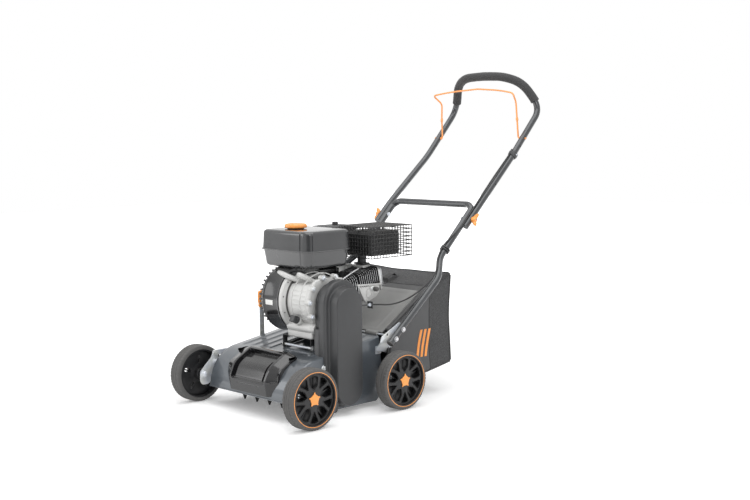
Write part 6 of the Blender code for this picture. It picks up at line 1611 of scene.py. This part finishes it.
# %% Front cloth and mesh cloth
front = loft([bag_ring(MOUTH + (SEAM - MOUTH) * k / 22) for k in range(23)])
piece("bag_front", CLOTH, thicken(front, 0.0016), body="bag", cad="grass_bag", sharp=70)
rings = [bag_ring(SEAM + (REAR - SEAM) * k / 12) for k in range(13)]
middle = sum(rings[-1], Vector()) / len(rings[-1])
caps = [rings[-1]]
for t in (step / 12 for step in range(1, 12)):
    row = [p.lerp(middle, t) for p in rings[-1]]
    for q in row:
        fold = 0.0014 * sin(q.z * 55 + q.x * 24) * soft_step(t, 0.08, 0.3)
        q.y += 0.0045 * soft_step(t, 0.0, 0.1) - 0.013 * soft_step(t, 0.1, 0.9) + fold
    caps.append(row)
end = clean(loft(caps))
inner = [e for e in end.edges if e.is_boundary and all((v.co - middle).length < 0.06 for v in e.verts)]
bmesh.ops.holes_fill(end, edges=inner, sides=0)
piece("bag_mesh", MESH_CLOTH, thicken(join(loft(rings), end), 0.0016), body="bag", sharp=70)

# %% [markdown]
# Woven tape binds the seams: round the mouth, where the two cloths meet, and along the
# rear edges. The tape is a flat strip that follows the cloth and stands a little proud.

# %% Binding tape
def tape(ring, width, lift=0.0012):
    """A flat closed strip round one ring of the bag."""
    middle = sum(ring, Vector()) / len(ring)
    rows = []
    for offset, rise in ((-0.5, 0), (-0.42, 1), (0.42, 1), (0.5, 0)):
        row = []
        for p in ring:
            out = Vector((p.x - middle.x, 0, p.z - middle.z)).normalized()
            row.append(p + out * (lift * rise - 0.0003) + Vector((0, offset * width, 0)))
        rows.append(row)
    return loft(rows)

long_edges = []
for way in (1, -1):
    for level, shift in ((bag_floor, 0.0025), (bag_roof, -0.0025)):
        stations = [0.392 + (REAR - 0.392) * k / 25 for k in range(26)]
        long_edges.append(pipe([spot(way * (HALF - 0.0024), s, level(s) + shift) for s in stations], 0.0023,
                               8))
rear_edge = pipe([p + Vector((0, 0.0012, 0)) for p in bag_ring(REAR, 0.0006)], 0.003, 10, closed=True)
piece("bag_tape", BINDING, tape(bag_ring(0.391), 0.009), tape(bag_ring(SEAM), 0.006, 0.0009), rear_edge,
      *long_edges,
      body="bag", sharp=60)

# %% [markdown]
# The mouth's wire frame is one closed loop with round corners.

# %% Mouth frame
loop = rounded([(0.2035, 0.0815), (-0.2035, 0.0815), (-0.2035, 0.2243), (0.2035, 0.2243)], 0.012, 8)
piece("mouth_frame", GUARD_BLACK, pipe([spot(a, 0.3817, b) for a, b in loop], 0.004, closed=True), body="bag",
      cad="bag_frame")

# %% [markdown]
# A strap is sewn to the lid as a carrying loop. Its two feet are stitched flat, and the
# middle stands up in a low bridge.

# %% Carrying strap
start = Vector((0.56, 0.3459))
span = Vector((0.676, 0.394)) - start
square = Vector((-span.y, span.x)).normalized()
profile = [(0.025, 0.001), (0.08, 0.0012), (0.105, 0.0045), (0.125, 0.0112), (0.15, 0.0136), (0.28, 0.0142),
           (0.41, 0.0136), (0.435, 0.0112), (0.455, 0.0045), (0.48, 0.0012), (0.535, 0.001)]
fine = curve_through([(*(start + span * s + square * t), 0) for s, t in profile], 5)
rows = []
for x in (-0.0126, -0.0122, -0.0118, -0.004, 0.004, 0.0118, 0.0122, 0.0126):
    lift = -0.0004 if abs(x) > 0.0124 else 0.0
    rows.append([spot(x, p.x + square.x * lift, p.y + square.y * lift) for p in fine])
piece("carry_strap", BINDING, thicken(skin(rows), 0.0018), body="bag", sharp=60)

# %% [markdown]
# A plain trim of three straight bars is printed on each side of the cloth, in the same
# orange as the other trims. The bars lie on the sagging wall, a fraction above it.

# %% Printed bars
INK = finish("orange_print", "orange_plastic", (0.9, 0.33, 0.075), 0.55, grain=600, relief=0.12, tone=0.1,
             scuffs=0.4)

def on_wall(station, height, way):
    low, high = bag_floor(station), bag_roof(station)
    t = min(1.0, max(0.0, (height - low) / (high - low)))
    return spot(wall_at(station, t, way, HALF + 0.0009), station, height)

bars = []
for way in (1, -1):
    for number in range(3):
        rows = [[on_wall(0.519 + 0.0185 * number + 0.02 * t + d, 0.128 + 0.088 * t, way)
                 for d in (-0.0052, -0.0026, 0, 0.0026, 0.0052)] for t in (k / 24 for k in range(25))]
        bars.append(thicken(skin(rows), 0.0003))
piece("printed_bars", INK, *bars, body="bag", sharp=60)
